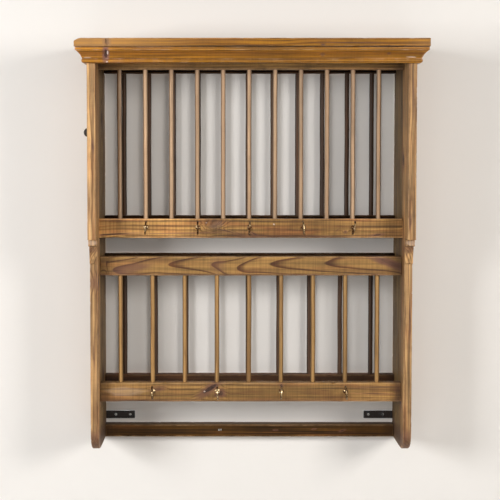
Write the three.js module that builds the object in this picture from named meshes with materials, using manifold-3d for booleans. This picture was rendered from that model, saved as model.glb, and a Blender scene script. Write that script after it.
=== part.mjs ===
// A wall-hung wooden plate rack: two tiers of upright dowels between two shaped side boards,
// a top board with a mitred cornice, cup hooks on two front rails, and an iron strap at each foot.
// Millimetres. X runs to the right, the room is towards -Y, Z is up, and the wall is y = 0.
// Heights are measured from the feet of the side boards. Depths are measured from the wall.

import * as THREE from 'three';
import { mergeVertices } from 'three/addons/utils/BufferGeometryUtils.js';
import Module from 'manifold-3d';

const wasm = await Module();
wasm.setup();

// Clearance in every joint, how far a cutter overruns, and how close corners weld
const fit = 0.3;
const overrun = 2;
const weld = 0.0001;

// Side boards
const innerWidth = 599.5;
const sideThickness = 16.5;
const lowerDepth = 159;
const coveLip = 5;
const coveSweep = 12.5;
const filletStep = 12;
const shoulderStep = 14;
const coveHeight = 36;
const filletHeight = 13.5;
const sideCoveShares = { out: 0.25, up: 0.6 };
const toeSetback = 46;
const toeHeight = 33;

// Rails and their stub tenons
const railHeight = 38;
const frontRailDepth = 22;
const backRailDepth = 26;
const footRailHeight = 26;
const footRailBase = 2;
const tenonShoulder = 5;
const mortiseWall = 7.5;

// Tiers
const lowerBase = 97;
const lowerClear = 214;
const lowerSetback = 27.5;
const lowerBackDrop = 3;
const tierGap = 37.5;
const upperClear = 292.5;
const upperSetback = 60.5;

// Dowels
const dowelDiameter = 9.5;
const dowelSocket = 12;
const dowelLeftMargin = 40.8;
const dowelRightMargin = 48.1;
const upperDowels = 11;
const lowerDowels = 9;

// Top board and cornice moulding
const boardThickness = 16.5;
const boardOverhang = 22;
const housingDepth = 5;
const mouldingHeight = 30;
const mouldingProjection = 20;
const mouldingFillet = 5.8;
const beadRadius = 4.9;
const beadCentre = 4;
const corniceCoveShares = { out: 0.24, down: 0.37 };

// Cup hooks: a round collar, a screwed shank and a bowl that is open at the top
const hookWire = 3;
const hookBowl = 12;
const hookNeck = 3;
const hookBend = 3;
const hookScrew = 14;
const hookTip = 4;
const hookRise = 2;
const collarDiameter = 9.5;
const collarThickness = 1.6;
const upperHookTurns = [5, 0, 2, -4, 11];
const lowerHookTurns = [-2, -3, 4, -6];
const upperHookShares = [0.02, 0.02, 0.01, 0.08, 0.01];
const lowerHookShares = [0, 0.02, 0, 0.01];
const hookOpenAngle = 105;

// Iron wall straps, the screw holes in them and the pilot hole behind each
const strapReach = 60;
const strapLap = 12;
const strapWidth = 16;
const strapThickness = 2.5;
const strapGap = 8;
const strapHole = 4.5;
const strapHoleMargin = 10;
const strapHoleSpacing = 30;
const strapPilot = 2.5;
const strapPilotDepth = 12;

// Domed iron bolt through the left side board
const boltDiameter = 17;
const boltRise = 7.3;
const boltShank = 6;
const boltWall = 5.5;
const boltSetback = 17.5;
const boltHeight = 207;

// How finely round shapes are cut
const roundSides = 12;
const wireSides = 8;
const bowlSteps = 14;
const bendSteps = 3;
const outlineSteps = 4;

// Sizes that follow from the ones above
const halfInner = innerWidth / 2;
const halfOuter = halfInner + sideThickness;
const upperDepth = lowerDepth + coveLip + coveSweep + filletStep + shoulderStep;
const lowerTop = lowerBase + railHeight + lowerClear;
const upperBase = lowerTop + railHeight + tierGap;
const upperTop = upperBase + railHeight + upperClear;
const boardBase = upperTop + railHeight + fit;
const tenonLength = sideThickness - mortiseWall;
const backAxis = backRailDepth / 2;
const originHeight = upperTop + railHeight / 2;
const strapHeight = footRailBase + footRailHeight + strapGap + strapWidth / 2;
const strapLastHole = strapReach - strapHoleMargin;
const strapHolePlaces = [-strapLap / 2, strapLastHole - strapHoleSpacing, strapLastHole];

const pine = new THREE.MeshStandardMaterial({ color: 0xa8713c, roughness: 0.55 });
const cornicePine = new THREE.MeshStandardMaterial({ color: 0xa9652d, roughness: 0.5 });
const darkPine = new THREE.MeshStandardMaterial({ color: 0x6b4526, roughness: 0.65 });
const dowelWood = new THREE.MeshStandardMaterial({ color: 0xb98a5c, roughness: 0.6 });
const brass = new THREE.MeshStandardMaterial({ color: 0xb08a45, roughness: 0.3, metalness: 1 });
const iron = new THREE.MeshStandardMaterial({ color: 0x2c2a29, roughness: 0.6, metalness: 0.8 });

const rack = new THREE.Group();
rack.name = 'plate_rack';
rack.position.z = -originHeight;

// A geometry as a solid that can be joined and cut
function solidOf(geometry) {
  const bare = geometry.clone();
  bare.deleteAttribute('normal');
  bare.deleteAttribute('uv');
  const merged = mergeVertices(bare, weld);
  return new wasm.Manifold(new wasm.Mesh({
    numProp: 3,
    vertProperties: merged.attributes.position.array,
    triVerts: new Uint32Array(merged.index.array),
  }));
}

// A joined or cut solid as a geometry with flat faces
function geometryOf(solid) {
  const { vertProperties, triVerts } = solid.getMesh();
  const geometry = new THREE.BufferGeometry();
  geometry.setAttribute('position', new THREE.BufferAttribute(vertProperties, 3));
  geometry.setIndex(new THREE.BufferAttribute(triVerts, 1));
  const faceted = geometry.toNonIndexed();
  faceted.computeVertexNormals();
  return faceted;
}

function addPiece(name, geometry, material, x, y, z) {
  const mesh = new THREE.Mesh(geometry, material);
  mesh.name = name;
  mesh.position.set(x, y, z);
  rack.add(mesh);
  return mesh;
}

// A box centred on a point
function block(width, depth, height, x, y, z) {
  return solidOf(new THREE.BoxGeometry(width, depth, height).translate(x, y, z));
}

// An upright rod centred on a point
function rod(diameter, length, x, y, z) {
  const radius = diameter / 2;
  const geometry = new THREE.CylinderGeometry(radius, radius, length, roundSides);
  return solidOf(geometry.rotateX(Math.PI / 2).translate(x, y, z));
}

// A rod along the depth of the rack, from the front face at y inwards
function pilotHole(diameter, depth, x, y, z) {
  const radius = diameter / 2;
  const geometry = new THREE.CylinderGeometry(radius, radius, depth + overrun, roundSides);
  return solidOf(geometry.translate(x, y + (depth - overrun) / 2, z));
}

// Turns an outline drawn as depth and height, extruded sideways, to face the room
function faceRoom(geometry) {
  const forward = new THREE.Vector3(0, -1, 0);
  const up = new THREE.Vector3(0, 0, 1);
  const turn = new THREE.Matrix4().makeBasis(forward, up, forward.clone().cross(up));
  return geometry.applyMatrix4(turn);
}

// Where the dowels of a tier stand, left to right
function dowelPlaces({ count }) {
  return Array.from({ length: count }, (_, i) => -halfInner + dowelLeftMargin + i * dowelPitch(count));
}

function dowelPitch(count) {
  return (innerWidth - dowelLeftMargin - dowelRightMargin) / (count - 1);
}

// The hooks are screwed in under every second dowel, each a little off its line
function hookPlaces({ count, hookShares }) {
  const places = dowelPlaces({ count }).filter((_, i) => i % 2 === 1);
  return places.map((x, i) => x + hookShares[i] * dowelPitch(count));
}

const tiers = [
  {
    name: 'upper', base: upperBase, top: upperTop, clear: upperClear, drop: 0,
    count: upperDowels, frontAxis: upperDepth - upperSetback - frontRailDepth / 2,
    hookTurns: upperHookTurns, hookShares: upperHookShares,
  },
  {
    name: 'lower', base: lowerBase, top: lowerTop, clear: lowerClear, drop: lowerBackDrop,
    count: lowerDowels, frontAxis: lowerDepth - lowerSetback - frontRailDepth / 2,
    hookTurns: lowerHookTurns, hookShares: lowerHookShares,
  },
];

// Every rail with its size and the depth and height of its centre
function railList() {
  const list = [];
  for (const tier of tiers) {
    const { name, base, top, drop, frontAxis } = tier;
    const mid = railHeight / 2;
    const size = { height: railHeight, places: dowelPlaces(tier) };
    const front = { ...size, depth: frontRailDepth, axis: frontAxis };
    const back = { ...size, depth: backRailDepth, axis: backAxis };
    const hooks = hookPlaces(tier);
    list.push({ ...front, name: name + '_top_front_rail', z: top + mid, bores: 'below' });
    list.push({ ...back, name: name + '_top_back_rail', z: top + mid - drop, bores: 'below' });
    list.push({ ...front, name: name + '_bottom_front_rail', z: base + mid, bores: 'above', hooks });
    list.push({ ...back, name: name + '_bottom_back_rail', z: base + mid - drop, bores: 'above' });
  }
  list.push({
    name: 'foot_back_rail', depth: backRailDepth, height: footRailHeight, axis: backAxis,
    z: footRailBase + footRailHeight / 2, places: [],
  });
  return list;
}

// A rail centred on its own middle, with a stub tenon at each end
function railBlank({ depth, height }) {
  const body = block(innerWidth - 2 * fit, depth, height, 0, 0, 0);
  const tongueDepth = depth - 2 * tenonShoulder;
  const tongueHeight = height - 2 * tenonShoulder;
  return body.add(block(innerWidth + 2 * tenonLength - 2 * fit, tongueDepth, tongueHeight, 0, 0, 0));
}

// The blind sockets for the dowels and the pilot holes for the hooks
function railGeometry(rail) {
  let solid = railBlank(rail);
  const side = rail.bores === 'above' ? 1 : -1;
  const boreMiddle = side * (rail.height / 2 - dowelSocket / 2 + overrun / 2);
  for (const x of rail.places) {
    solid = solid.subtract(rod(dowelDiameter + 2 * fit, dowelSocket + overrun, x, 0, boreMiddle));
  }
  for (const x of rail.hooks ?? []) {
    solid = solid.subtract(pilotHole(hookWire + 2 * fit, hookScrew + fit, x, -rail.depth / 2, hookRise));
  }
  return geometryOf(solid);
}

// The lower back grid is glued up for good, so its bottom rail and dowels are one piece
function gluedGridGeometry(rail, dowelLength) {
  let solid = railBlank(rail);
  const dowelMiddle = rail.height / 2 - dowelSocket + dowelLength / 2;
  for (const x of rail.places) solid = solid.add(rod(dowelDiameter, dowelLength, x, 0, dowelMiddle));
  return geometryOf(solid);
}

function dowelLengthOf(tier) {
  return tier.clear + 2 * (dowelSocket - fit);
}

function addRails() {
  const [, lower] = tiers;
  for (const rail of railList()) {
    const glued = rail.name === 'lower_bottom_back_rail';
    const geometry = glued ? gluedGridGeometry(rail, dowelLengthOf(lower)) : railGeometry(rail);
    const name = glued ? 'lower_back_glued_grid' : rail.name;
    const material = rail.name === 'foot_back_rail' ? darkPine : pine;
    addPiece(name, geometry, material, 0, -rail.axis, rail.z);
  }
}

// One loose dowel for each place, standing in its two sockets
function addDowels(tier, row, axis, drop) {
  const length = dowelLengthOf(tier);
  const middle = tier.base + railHeight + tier.clear / 2 - drop;
  dowelPlaces(tier).forEach((x, i) => {
    const name = `${tier.name}_${row}_dowel_${String(i + 1).padStart(2, '0')}`;
    addPiece(name, geometryOf(rod(dowelDiameter, length, 0, 0, 0)), dowelWood, x, -axis, middle);
  });
}

// A side board as depth from the wall and height: round toe, narrow lower part, cove, wide upper part
function sideOutline() {
  const quarter = Math.PI / 2;
  const coveTop = upperBase - filletHeight;
  const coveFoot = coveTop - coveHeight;
  const coveEnd = lowerDepth + coveLip + coveSweep;
  const outline = new THREE.Shape();
  outline.moveTo(0, 0);
  outline.lineTo(lowerDepth - toeSetback, 0);
  outline.absellipse(lowerDepth - toeSetback, toeHeight, toeSetback, toeHeight, -quarter, 0, false);
  outline.lineTo(lowerDepth, coveFoot);
  outline.lineTo(lowerDepth + coveLip, coveFoot);
  outline.quadraticCurveTo(
    lowerDepth + coveLip + coveSweep * sideCoveShares.out,
    coveFoot + coveHeight * sideCoveShares.up,
    coveEnd, coveTop,
  );
  outline.lineTo(coveEnd + filletStep, coveTop);
  outline.lineTo(coveEnd + filletStep, upperBase);
  outline.lineTo(upperDepth, upperBase);
  outline.lineTo(upperDepth, boardBase + housingDepth);
  outline.lineTo(0, boardBase + housingDepth);
  return outline;
}

// The cuts in both side boards: a mortise for each rail's tenon, seen from the inner face at x = 0
function mortises(inward) {
  const cuts = [];
  const reach = tenonLength + overrun;
  for (const { depth, height, axis, z } of railList()) {
    const tongueDepth = depth - 2 * tenonShoulder + 2 * fit;
    const tongueHeight = height - 2 * tenonShoulder + 2 * fit;
    cuts.push(block(reach, tongueDepth, tongueHeight, inward * (overrun - tenonLength) / 2, -axis, z));
  }
  return cuts;
}

// The notch in a side board's back edge that a strap lies in, and the pilot hole for its hidden screw
function strapCuts(inward) {
  const [hidden] = strapHolePlaces;
  const width = strapLap + fit + overrun;
  const depth = strapThickness + fit + overrun;
  const x = inward * (overrun - strapLap - fit) / 2;
  const y = (overrun - strapThickness - fit) / 2;
  return [
    block(width, depth, strapWidth + 2 * fit, x, y, strapHeight),
    pilotHole(strapPilot, strapPilotDepth, inward * hidden, -strapThickness - strapPilotDepth, strapHeight),
  ];
}

function sideGeometry(inward) {
  const options = { depth: sideThickness, curveSegments: outlineSteps, bevelEnabled: false };
  const board = faceRoom(new THREE.ExtrudeGeometry(sideOutline(), options));
  let solid = solidOf(board.translate(inward > 0 ? 0 : sideThickness, 0, 0));
  for (const cut of [...mortises(inward), ...strapCuts(inward)]) solid = solid.subtract(cut);
  return solid;
}

const boltPlace = { depth: upperDepth - boltSetback, height: upperBase + boltHeight };

// A round rod along x for the bolt or its hole, from the outer face inwards
function boltRod(diameter, length, x) {
  const radius = diameter / 2;
  const geometry = new THREE.CylinderGeometry(radius, radius, length, roundSides);
  return geometry.rotateZ(Math.PI / 2).translate(x, 0, 0);
}

function addSides() {
  const boltHole = boltRod(boltShank + 2 * fit, 2 * (sideThickness - boltWall), -sideThickness);
  const placed = solidOf(boltHole.translate(0, -boltPlace.depth, boltPlace.height));
  addPiece('left_side_board', geometryOf(sideGeometry(1).subtract(placed)), pine, -halfInner, 0, 0);
  addPiece('right_side_board', geometryOf(sideGeometry(-1)), pine, halfInner, 0, 0);
}

// The iron bolt: a low dome outside the left side board, on a shank that ends inside it
function addBolt() {
  const radius = boltDiameter / 2;
  const sphere = (radius * radius + boltRise * boltRise) / (2 * boltRise);
  const edge = Math.asin(radius / sphere);
  const profile = [new THREE.Vector2(0, 0), new THREE.Vector2(radius, 0)];
  for (let i = 1; i < outlineSteps; i++) {
    const angle = edge * (1 - i / outlineSteps);
    profile.push(new THREE.Vector2(sphere * Math.sin(angle), sphere * Math.cos(angle) + boltRise - sphere));
  }
  profile.push(new THREE.Vector2(0, boltRise));
  const dome = new THREE.LatheGeometry(profile, roundSides).rotateZ(Math.PI / 2);
  const shankLength = sideThickness - boltWall;
  const shank = boltRod(boltShank, shankLength, shankLength / 2 - overrun);
  const solid = solidOf(dome).add(solidOf(shank));
  addPiece('left_side_bolt', geometryOf(solid), iron, -halfOuter - fit, -boltPlace.depth, boltPlace.height);
}

// The top board, with a housing in its underside for the end of each side board
function addTopBoard() {
  const width = 2 * (halfOuter + boardOverhang);
  const depth = upperDepth + boardOverhang;
  const middle = boardBase + boardThickness / 2;
  let solid = block(width, depth, boardThickness, 0, -depth / 2, middle);
  const cutWidth = sideThickness + 2 * fit;
  const cutDepth = upperDepth + fit + overrun;
  const cutHeight = housingDepth + fit + overrun;
  for (const side of [-1, 1]) {
    const x = side * (halfInner + sideThickness / 2);
    const z = boardBase + cutHeight / 2 - overrun;
    solid = solid.subtract(block(cutWidth, cutDepth, cutHeight, x, overrun - cutDepth / 2, z));
  }
  addPiece('top_board', geometryOf(solid), cornicePine, 0, 0, 0);
}

// The cornice section as projection and height, from its back: top, fillet, cove, bead
function mouldingSection() {
  const bead = beadRadius - mouldingHeight;
  const neckAngle = Math.PI / 4;
  const reach = new THREE.Vector2(Math.cos(neckAngle), Math.sin(neckAngle)).multiplyScalar(beadRadius);
  const neck = new THREE.Vector2(beadCentre, bead).add(reach);
  const lip = new THREE.Vector2(mouldingProjection, -mouldingFillet);
  const section = new THREE.Shape();
  section.moveTo(0, -mouldingHeight);
  section.lineTo(beadCentre, -mouldingHeight);
  section.absarc(beadCentre, bead, beadRadius, -Math.PI / 2, neckAngle, false);
  section.quadraticCurveTo(
    neck.x + corniceCoveShares.out * (lip.x - neck.x),
    lip.y + corniceCoveShares.down * (neck.y - lip.y),
    lip.x, lip.y,
  );
  section.lineTo(mouldingProjection, 0);
  section.lineTo(0, 0);
  return section;
}

// A length of cornice whose ends are square or mitred: each end is a place and a slope with projection
function mouldingGeometry(start, end) {
  const options = { depth: 1, curveSegments: outlineSteps, bevelEnabled: false };
  const geometry = new THREE.ExtrudeGeometry(mouldingSection(), options);
  const { position } = geometry.attributes;
  for (let i = 0; i < position.count; i++) {
    const { at, slope } = position.getZ(i) > 0 ? end : start;
    position.setZ(i, at + slope * position.getX(i));
  }
  geometry.computeVertexNormals();
  return geometry;
}

function addCornice() {
  const mitreGap = fit / Math.SQRT2;
  const sideMitre = halfOuter + fit - mitreGap;
  const depthMitre = upperDepth + fit - mitreGap;
  const under = boardBase - fit;
  const square = { at: 0, slope: 0 };
  const quarter = Math.PI / 2;
  const front = faceRoom(mouldingGeometry({ at: -sideMitre, slope: -1 }, { at: sideMitre, slope: 1 }));
  const right = faceRoom(mouldingGeometry(square, { at: depthMitre, slope: 1 })).rotateZ(quarter);
  const left = faceRoom(mouldingGeometry({ at: -depthMitre, slope: -1 }, square)).rotateZ(-quarter);
  addPiece('cornice_front', front, cornicePine, 0, -upperDepth - fit, under);
  addPiece('cornice_right_return', right, cornicePine, halfOuter + fit, 0, under);
  addPiece('cornice_left_return', left, cornicePine, -halfOuter - fit, 0, under);
}

// The wire of a hook, by distance out from the rail and height: shank, bend, then round the bowl
function hookPath() {
  const back = collarThickness + hookNeck;
  const centre = back + hookBowl;
  const around = (angle) => new THREE.Vector3(
    0, -centre - hookBowl * Math.cos(angle), hookBowl * Math.sin(angle),
  );
  const joinAngle = Math.PI + hookBend / hookBowl;
  const openAngle = 2 * Math.PI + THREE.MathUtils.degToRad(hookOpenAngle);
  const screwEnd = new THREE.Vector3(0, hookScrew, 0);
  const bendStart = new THREE.Vector3(0, hookBend - back, 0);
  const corner = new THREE.Vector3(0, -back, 0);
  const points = [];
  for (let i = 0; i <= bowlSteps; i++) {
    points.push(around(joinAngle + (openAngle - joinAngle) * i / bowlSteps));
  }
  const path = new THREE.CurvePath();
  path.add(new THREE.LineCurve3(screwEnd, bendStart));
  path.add(new THREE.QuadraticBezierCurve3(bendStart, corner, around(joinAngle)));
  path.add(new THREE.CatmullRomCurve3(points));
  return path;
}

function hookGeometry() {
  const path = hookPath();
  const radius = hookWire / 2;
  const wire = new THREE.Shape();
  for (let i = 0; i < wireSides; i++) {
    const angle = 2 * Math.PI * i / wireSides;
    wire[i ? 'lineTo' : 'moveTo'](radius * Math.cos(angle), radius * Math.sin(angle));
  }
  const options = { steps: bowlSteps + bendSteps + outlineSteps, extrudePath: path, bevelEnabled: false };
  const tube = solidOf(new THREE.ExtrudeGeometry(wire, options));
  const collarRadius = collarDiameter / 2;
  const collar = new THREE.CylinderGeometry(collarRadius, collarRadius, collarThickness, roundSides);
  const tip = path.getPoint(1);
  const ball = new THREE.SphereGeometry(hookTip / 2, wireSides, wireSides / 2);
  const solid = tube.add(solidOf(collar.translate(0, -fit - collarThickness / 2, 0)));
  return geometryOf(solid.add(solidOf(ball.translate(tip.x, tip.y, tip.z))));
}

function addHooks(tier) {
  const face = -tier.frontAxis - frontRailDepth / 2;
  const height = tier.base + railHeight / 2 + hookRise;
  hookPlaces(tier).forEach((x, i) => {
    const hook = addPiece(`${tier.name}_cup_hook_${i + 1}`, hookGeometry(), brass, x, face, height);
    hook.rotation.y = THREE.MathUtils.degToRad(tier.hookTurns[i]);
  });
}

// A flat strap screwed to the back edge of a side board, with two more holes for the wall
function strapGeometry(inward) {
  const middle = inward * (strapReach - strapLap) / 2;
  let solid = block(strapReach + strapLap, strapThickness, strapWidth, middle, -strapThickness / 2, 0);
  for (const place of strapHolePlaces) {
    solid = solid.subtract(pilotHole(strapHole, strapThickness + overrun, inward * place, -strapThickness, 0));
  }
  return geometryOf(solid);
}

function addStraps() {
  addPiece('left_wall_strap', strapGeometry(1), iron, -halfInner, 0, strapHeight);
  addPiece('right_wall_strap', strapGeometry(-1), iron, halfInner, 0, strapHeight);
}

addSides();
addBolt();
addTopBoard();
addCornice();
addRails();
for (const tier of tiers) {
  addDowels(tier, 'front', tier.frontAxis, 0);
  if (tier.name === 'upper') addDowels(tier, 'back', backAxis, tier.drop);
  addHooks(tier);
}
addStraps();

export default rack;
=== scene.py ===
"""A wall-hung pine plate rack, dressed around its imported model.

Lengths are in metres. X runs to the right, the room is towards -Y, Z is up, and the wall is y = 0.
"""

import math
from types import SimpleNamespace

import bmesh
import bpy
import numpy as np
from bpy.props import FloatProperty, FloatVectorProperty, IntProperty, PointerProperty
from mathutils import Euler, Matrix, Vector, geometry, noise


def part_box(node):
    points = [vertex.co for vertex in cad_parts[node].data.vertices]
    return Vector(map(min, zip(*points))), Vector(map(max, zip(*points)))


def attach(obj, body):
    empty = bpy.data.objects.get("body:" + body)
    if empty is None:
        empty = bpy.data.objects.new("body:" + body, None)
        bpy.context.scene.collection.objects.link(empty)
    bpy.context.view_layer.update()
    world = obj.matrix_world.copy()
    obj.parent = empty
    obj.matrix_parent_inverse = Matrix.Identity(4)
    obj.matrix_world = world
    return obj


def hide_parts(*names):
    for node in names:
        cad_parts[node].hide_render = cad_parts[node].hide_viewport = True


bl_info = {
    "name": "Wooden Plate Rack",
    "version": (1, 0, 0),
    "blender": (4, 5, 0),
    "location": "View3D > Sidebar > Plate Rack",
    "description": "Dresses the packed plate rack in worn, waxed pine",
    "category": "Add Mesh",
}

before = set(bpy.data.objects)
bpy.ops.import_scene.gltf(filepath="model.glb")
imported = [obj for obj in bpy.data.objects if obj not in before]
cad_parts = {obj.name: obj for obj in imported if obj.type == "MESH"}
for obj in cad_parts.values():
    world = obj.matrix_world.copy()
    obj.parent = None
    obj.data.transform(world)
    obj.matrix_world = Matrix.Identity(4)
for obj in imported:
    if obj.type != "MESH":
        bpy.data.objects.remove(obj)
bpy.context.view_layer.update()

MM = 0.001

# Settings that the panel shows


def paint(red, green, blue):
    """An sRGB colour, 0 to 255, as the linear numbers that shaders read."""
    def linear(value):
        value /= 255
        return value / 12.92 if value <= 0.04045 else ((value + 0.055) / 1.055) ** 2.4
    return tuple(linear(value) for value in (red, green, blue))


def colour(name, description, *rgb):
    return FloatVectorProperty(
        name=name, description=description, subtype="COLOR", size=3, min=0, max=1, default=paint(*rgb))


def power(name, description, default):
    return FloatProperty(
        name=name, description=description, default=default, min=0, max=500, unit="POWER")


def length(name, description, default, most=0.05):
    return FloatProperty(
        name=name, description=description, default=default, min=0, max=most,
        subtype="DISTANCE", unit="LENGTH", precision=4)


def thickness_of(node, axis):
    low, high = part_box(node)
    return high[axis] - low[axis]


class RackSizes(bpy.types.PropertyGroup):
    """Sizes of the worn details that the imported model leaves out"""
    arris: length("Worn corner", "Radius of the boards' worn corners", 1.3 * MM)
    rail_arris: length("Rail corner", "Radius of the rails' worn corners", 1.5 * MM)
    toe_arris: length("Toe corner", "Radius of the corners at the feet", 3.2 * MM)
    outline_step: length("Outline step", "Spacing of points along a board's outline", 2.6 * MM)
    face_step: length("Face step", "Spacing of points over a board's faces", 5.5 * MM)
    unevenness: length("Unevenness", "Depth of the hand plane's hollows", 0.25 * MM)
    chipping: length("Chipping", "Depth of the small chips along the corners", 0.9 * MM)
    dowel: length("Dowel", "Diameter of a dowel", thickness_of("upper_front_dowel_01", 0))
    dowel_swell: FloatProperty(
        name="Dowel swell", description="How much a dowel's diameter varies along it",
        default=0.012, min=0, max=0.2, subtype="FACTOR")
    dowel_bow: length("Dowel bow", "How far a dowel strays from its line", 0.35 * MM)
    hook_wire: length("Hook wire", "Diameter of a cup hook's wire", 3 * MM)
    hook_bowl: length("Hook bowl", "Radius of a cup hook's bowl", 12 * MM)
    strap_corner: length("Strap corner", "Radius of the iron straps' corners", 1.2 * MM)
    screw_head: length("Screw head", "Radius of a strap screw's head", 2.6 * MM)
    nail_head: length("Nail head", "Radius of a nail's head", 1.5 * MM)
    dowel_sides: IntProperty(
        name="Dowel sides", description="Faces around a dowel", default=20, min=6, max=48)


class RackColours(bpy.types.PropertyGroup):
    """Colours of the woods and metals"""
    pine_light: colour("Rails, pale", "Early wood of the rails", 156, 118, 65)
    pine_dark: colour("Rails, dark", "Late wood of the rails", 86, 51, 25)
    side_light: colour("Sides, pale", "Early wood of the side boards", 186, 146, 98)
    side_dark: colour("Sides, dark", "Late wood of the side boards", 112, 76, 42)
    cornice_light: colour("Cornice, pale", "Early wood of the orange pine", 160, 107, 18)
    cornice_dark: colour("Cornice, dark", "Late wood of the orange pine", 98, 54, 4)
    # The back rails' dark colours are partly painted shade, for the deep shadow behind the front rails, and
    # partly dark, grimy wood
    back_light: colour("Back rails, pale", "Early wood of the grimy back rails", 52, 33, 20)
    back_dark: colour("Back rails, dark", "Late wood of the grimy back rails", 28, 17, 10)
    foot_light: colour("Foot rail, pale", "Early wood of the dark foot rail", 80, 52, 16)
    foot_dark: colour("Foot rail, dark", "Late wood of the dark foot rail", 32, 20, 6)
    dowel_light: colour("Dowels, pale", "Early wood of the front dowels", 186, 154, 122)
    dowel_dark: colour("Dowels, dark", "Late wood of the front dowels", 140, 108, 80)
    bleached: colour("Bleached end", "Cornice wood faded by the light", 202, 152, 92)
    low_dowel_light: colour("Lower dowels, pale", "Early wood of the lower front dowels", 160, 123, 74)
    low_dowel_dark: colour("Lower dowels, dark", "Late wood of the lower front dowels", 88, 55, 29)
    # The back dowels' dark colours are partly painted shade, for the shadow behind the front dowels, and
    # partly darker wood
    back_dowel_light: colour("Back dowels, pale", "Early wood of the back dowels", 80, 56, 38)
    back_dowel_dark: colour("Back dowels, dark", "Late wood of the back dowels", 46, 30, 19)
    stain: colour("Reddish wood", "Resin and old stain in the grain", 140, 88, 52)
    # The knot and halo colours also draw the painted shadow lines in the side boards' steps and over the
    # cornice's bead, and the painted shade on the side boards' coves
    knot: colour("Knots", "Heart of a knot", 44, 27, 22)
    halo: colour("Around knots", "Wood around a knot", 112, 76, 58)
    # Grime, which also colours the painted shade at the rails' ends and under the top board
    grime: colour("Grime", "Old wax and dirt in corners", 36, 22, 12)
    # Painted shade on the side boards' inner faces, which stand in shadow
    inner_face_shade: colour("Inner faces", "How grime darkens the side boards' inner faces", 180, 185, 178)
    dust: colour("Dust", "Dust on the foot rail", 96, 76, 54)
    # Rubbed corners; on the moulding's arrises this pale colour is also a painted highlight
    rubbed: colour("Rubbed corners", "Pale wood where corners have worn", 194, 154, 110)
    # The scar colour also draws painted highlights: near the ends of the cornice's cove and on the side
    # boards' fillets
    scar: colour("Bright scar", "Where a knock has left the wood pale and smooth", 226, 210, 200)
    brass: colour("Brass", "Rubbed brass", 224, 200, 154)
    tarnish: colour("Tarnish", "Tarnished brass", 74, 46, 26)
    iron: colour("Iron", "Blackened iron", 46, 47, 50)
    rust: colour("Rust", "Rust on iron", 40, 32, 28)
    zinc: colour("Zinc", "Plated screws", 200, 198, 192)


class RackStage(bpy.types.PropertyGroup):
    """The wall, the floor and the lamps"""
    wall: colour("Wall", "Pale wall and floor", 236, 233, 229)
    sky: FloatProperty(
        name="Sky", description="Strength of the soft light all round", default=0.11, min=0, max=2)
    left_lamp: power("Left lamp", "Power of the left lamp", 44)
    right_lamp: power("Right lamp", "Power of the right lamp", 35)
    front_lamp: power("Front lamp", "Power of the soft lamp in front", 11)
    rear_lamp: power("Rear lamp", "Power of the lamp behind the wall", 60)


# Node trees


class Wiring:
    """Short ways to add nodes to one tree. Each returns an output, or the node."""

    def __init__(self, tree):
        self.tree = tree

    def feed(self, socket, value):
        if isinstance(value, bpy.types.NodeSocket):
            self.tree.links.new(value, socket)
        elif value is not None:
            socket.default_value = value

    def node(self, kind, values=None, **settings):
        made = self.tree.nodes.new(kind)
        for key, value in settings.items():
            setattr(made, key, value)
        for key, value in (values or {}).items():
            self.feed(made.inputs[key], value)
        return made

    def out(self, kind, values=None, **settings):
        return self.node(kind, values, **settings).outputs[0]

    def maths(self, operation, *values):
        return self.out("ShaderNodeMath", dict(enumerate(values)), operation=operation)

    def times(self, first, second):
        return self.maths("MULTIPLY", first, second)

    def times_plus(self, value, factor, extra):
        return self.maths("MULTIPLY_ADD", value, factor, extra)

    def axes(self, vector):
        return self.node("ShaderNodeSeparateXYZ", {0: vector}).outputs

    def joined(self, **axes):
        return self.out("ShaderNodeCombineXYZ", axes)

    def attribute(self, name):
        return self.node("ShaderNodeAttribute", attribute_name=name).outputs["Fac"]

    def place(self):
        return self.node("ShaderNodeTexCoord").outputs["Object"]

    def vector(self, operation, *values):
        made = self.node("ShaderNodeVectorMath", operation=operation)
        for socket, value in zip(made.inputs, values):
            self.feed(socket, value)
        return made.outputs["Value" if operation in ("LENGTH", "DISTANCE") else "Vector"]

    def noise(self, vector, stretch, detail=2.0):
        spread = self.vector("MULTIPLY", vector, stretch)
        return self.out("ShaderNodeTexNoise", {"Vector": spread, "Scale": 1.0, "Detail": detail})

    def even_noise(self, vector, scale, detail):
        return self.noise(vector, (scale, scale, scale), detail)

    def between(self, value, low, high, start=0.0, end=1.0, smooth=True):
        """The value's way from low to high, as a number from start to end."""
        return self.out(
            "ShaderNodeMapRange", dict(enumerate((value, low, high, start, end))),
            interpolation_type="SMOOTHSTEP" if smooth else "LINEAR")

    def blend(self, share, first, second, kind="MIX"):
        """A mix of two colours. Each is a socket, or red, green and blue."""
        made = self.node("ShaderNodeMix", {0: share}, data_type="RGBA", blend_type=kind)
        for socket, value in zip(made.inputs[6:8], (first, second)):
            self.feed(socket, value if isinstance(value, bpy.types.NodeSocket) else (*value, 1))
        return made.outputs[2]

    def mapping(self, vector, location, rotation=(0, 0, 0), scale=(1, 1, 1), kind="POINT"):
        return self.out("ShaderNodeMapping", {
            "Vector": vector, "Location": location, "Rotation": rotation, "Scale": scale}, vector_type=kind)

    def curve(self, value, points):
        """A smooth line through points whose two numbers run from 0 to 1."""
        made = self.node("ShaderNodeFloatCurve", {"Value": value})
        line = made.mapping.curves[0]
        line.points[0].location = points[0]
        line.points[1].location = points[-1]
        for point in points[1:-1]:
            line.points.new(*point)
        made.mapping.update()
        return made.outputs[0]

    def group(self, name, values):
        made = self.node("ShaderNodeGroup", node_tree=bpy.data.node_groups[name])
        for key, value in values.items():
            self.feed(made.inputs[key], value)
        return made.outputs


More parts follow.
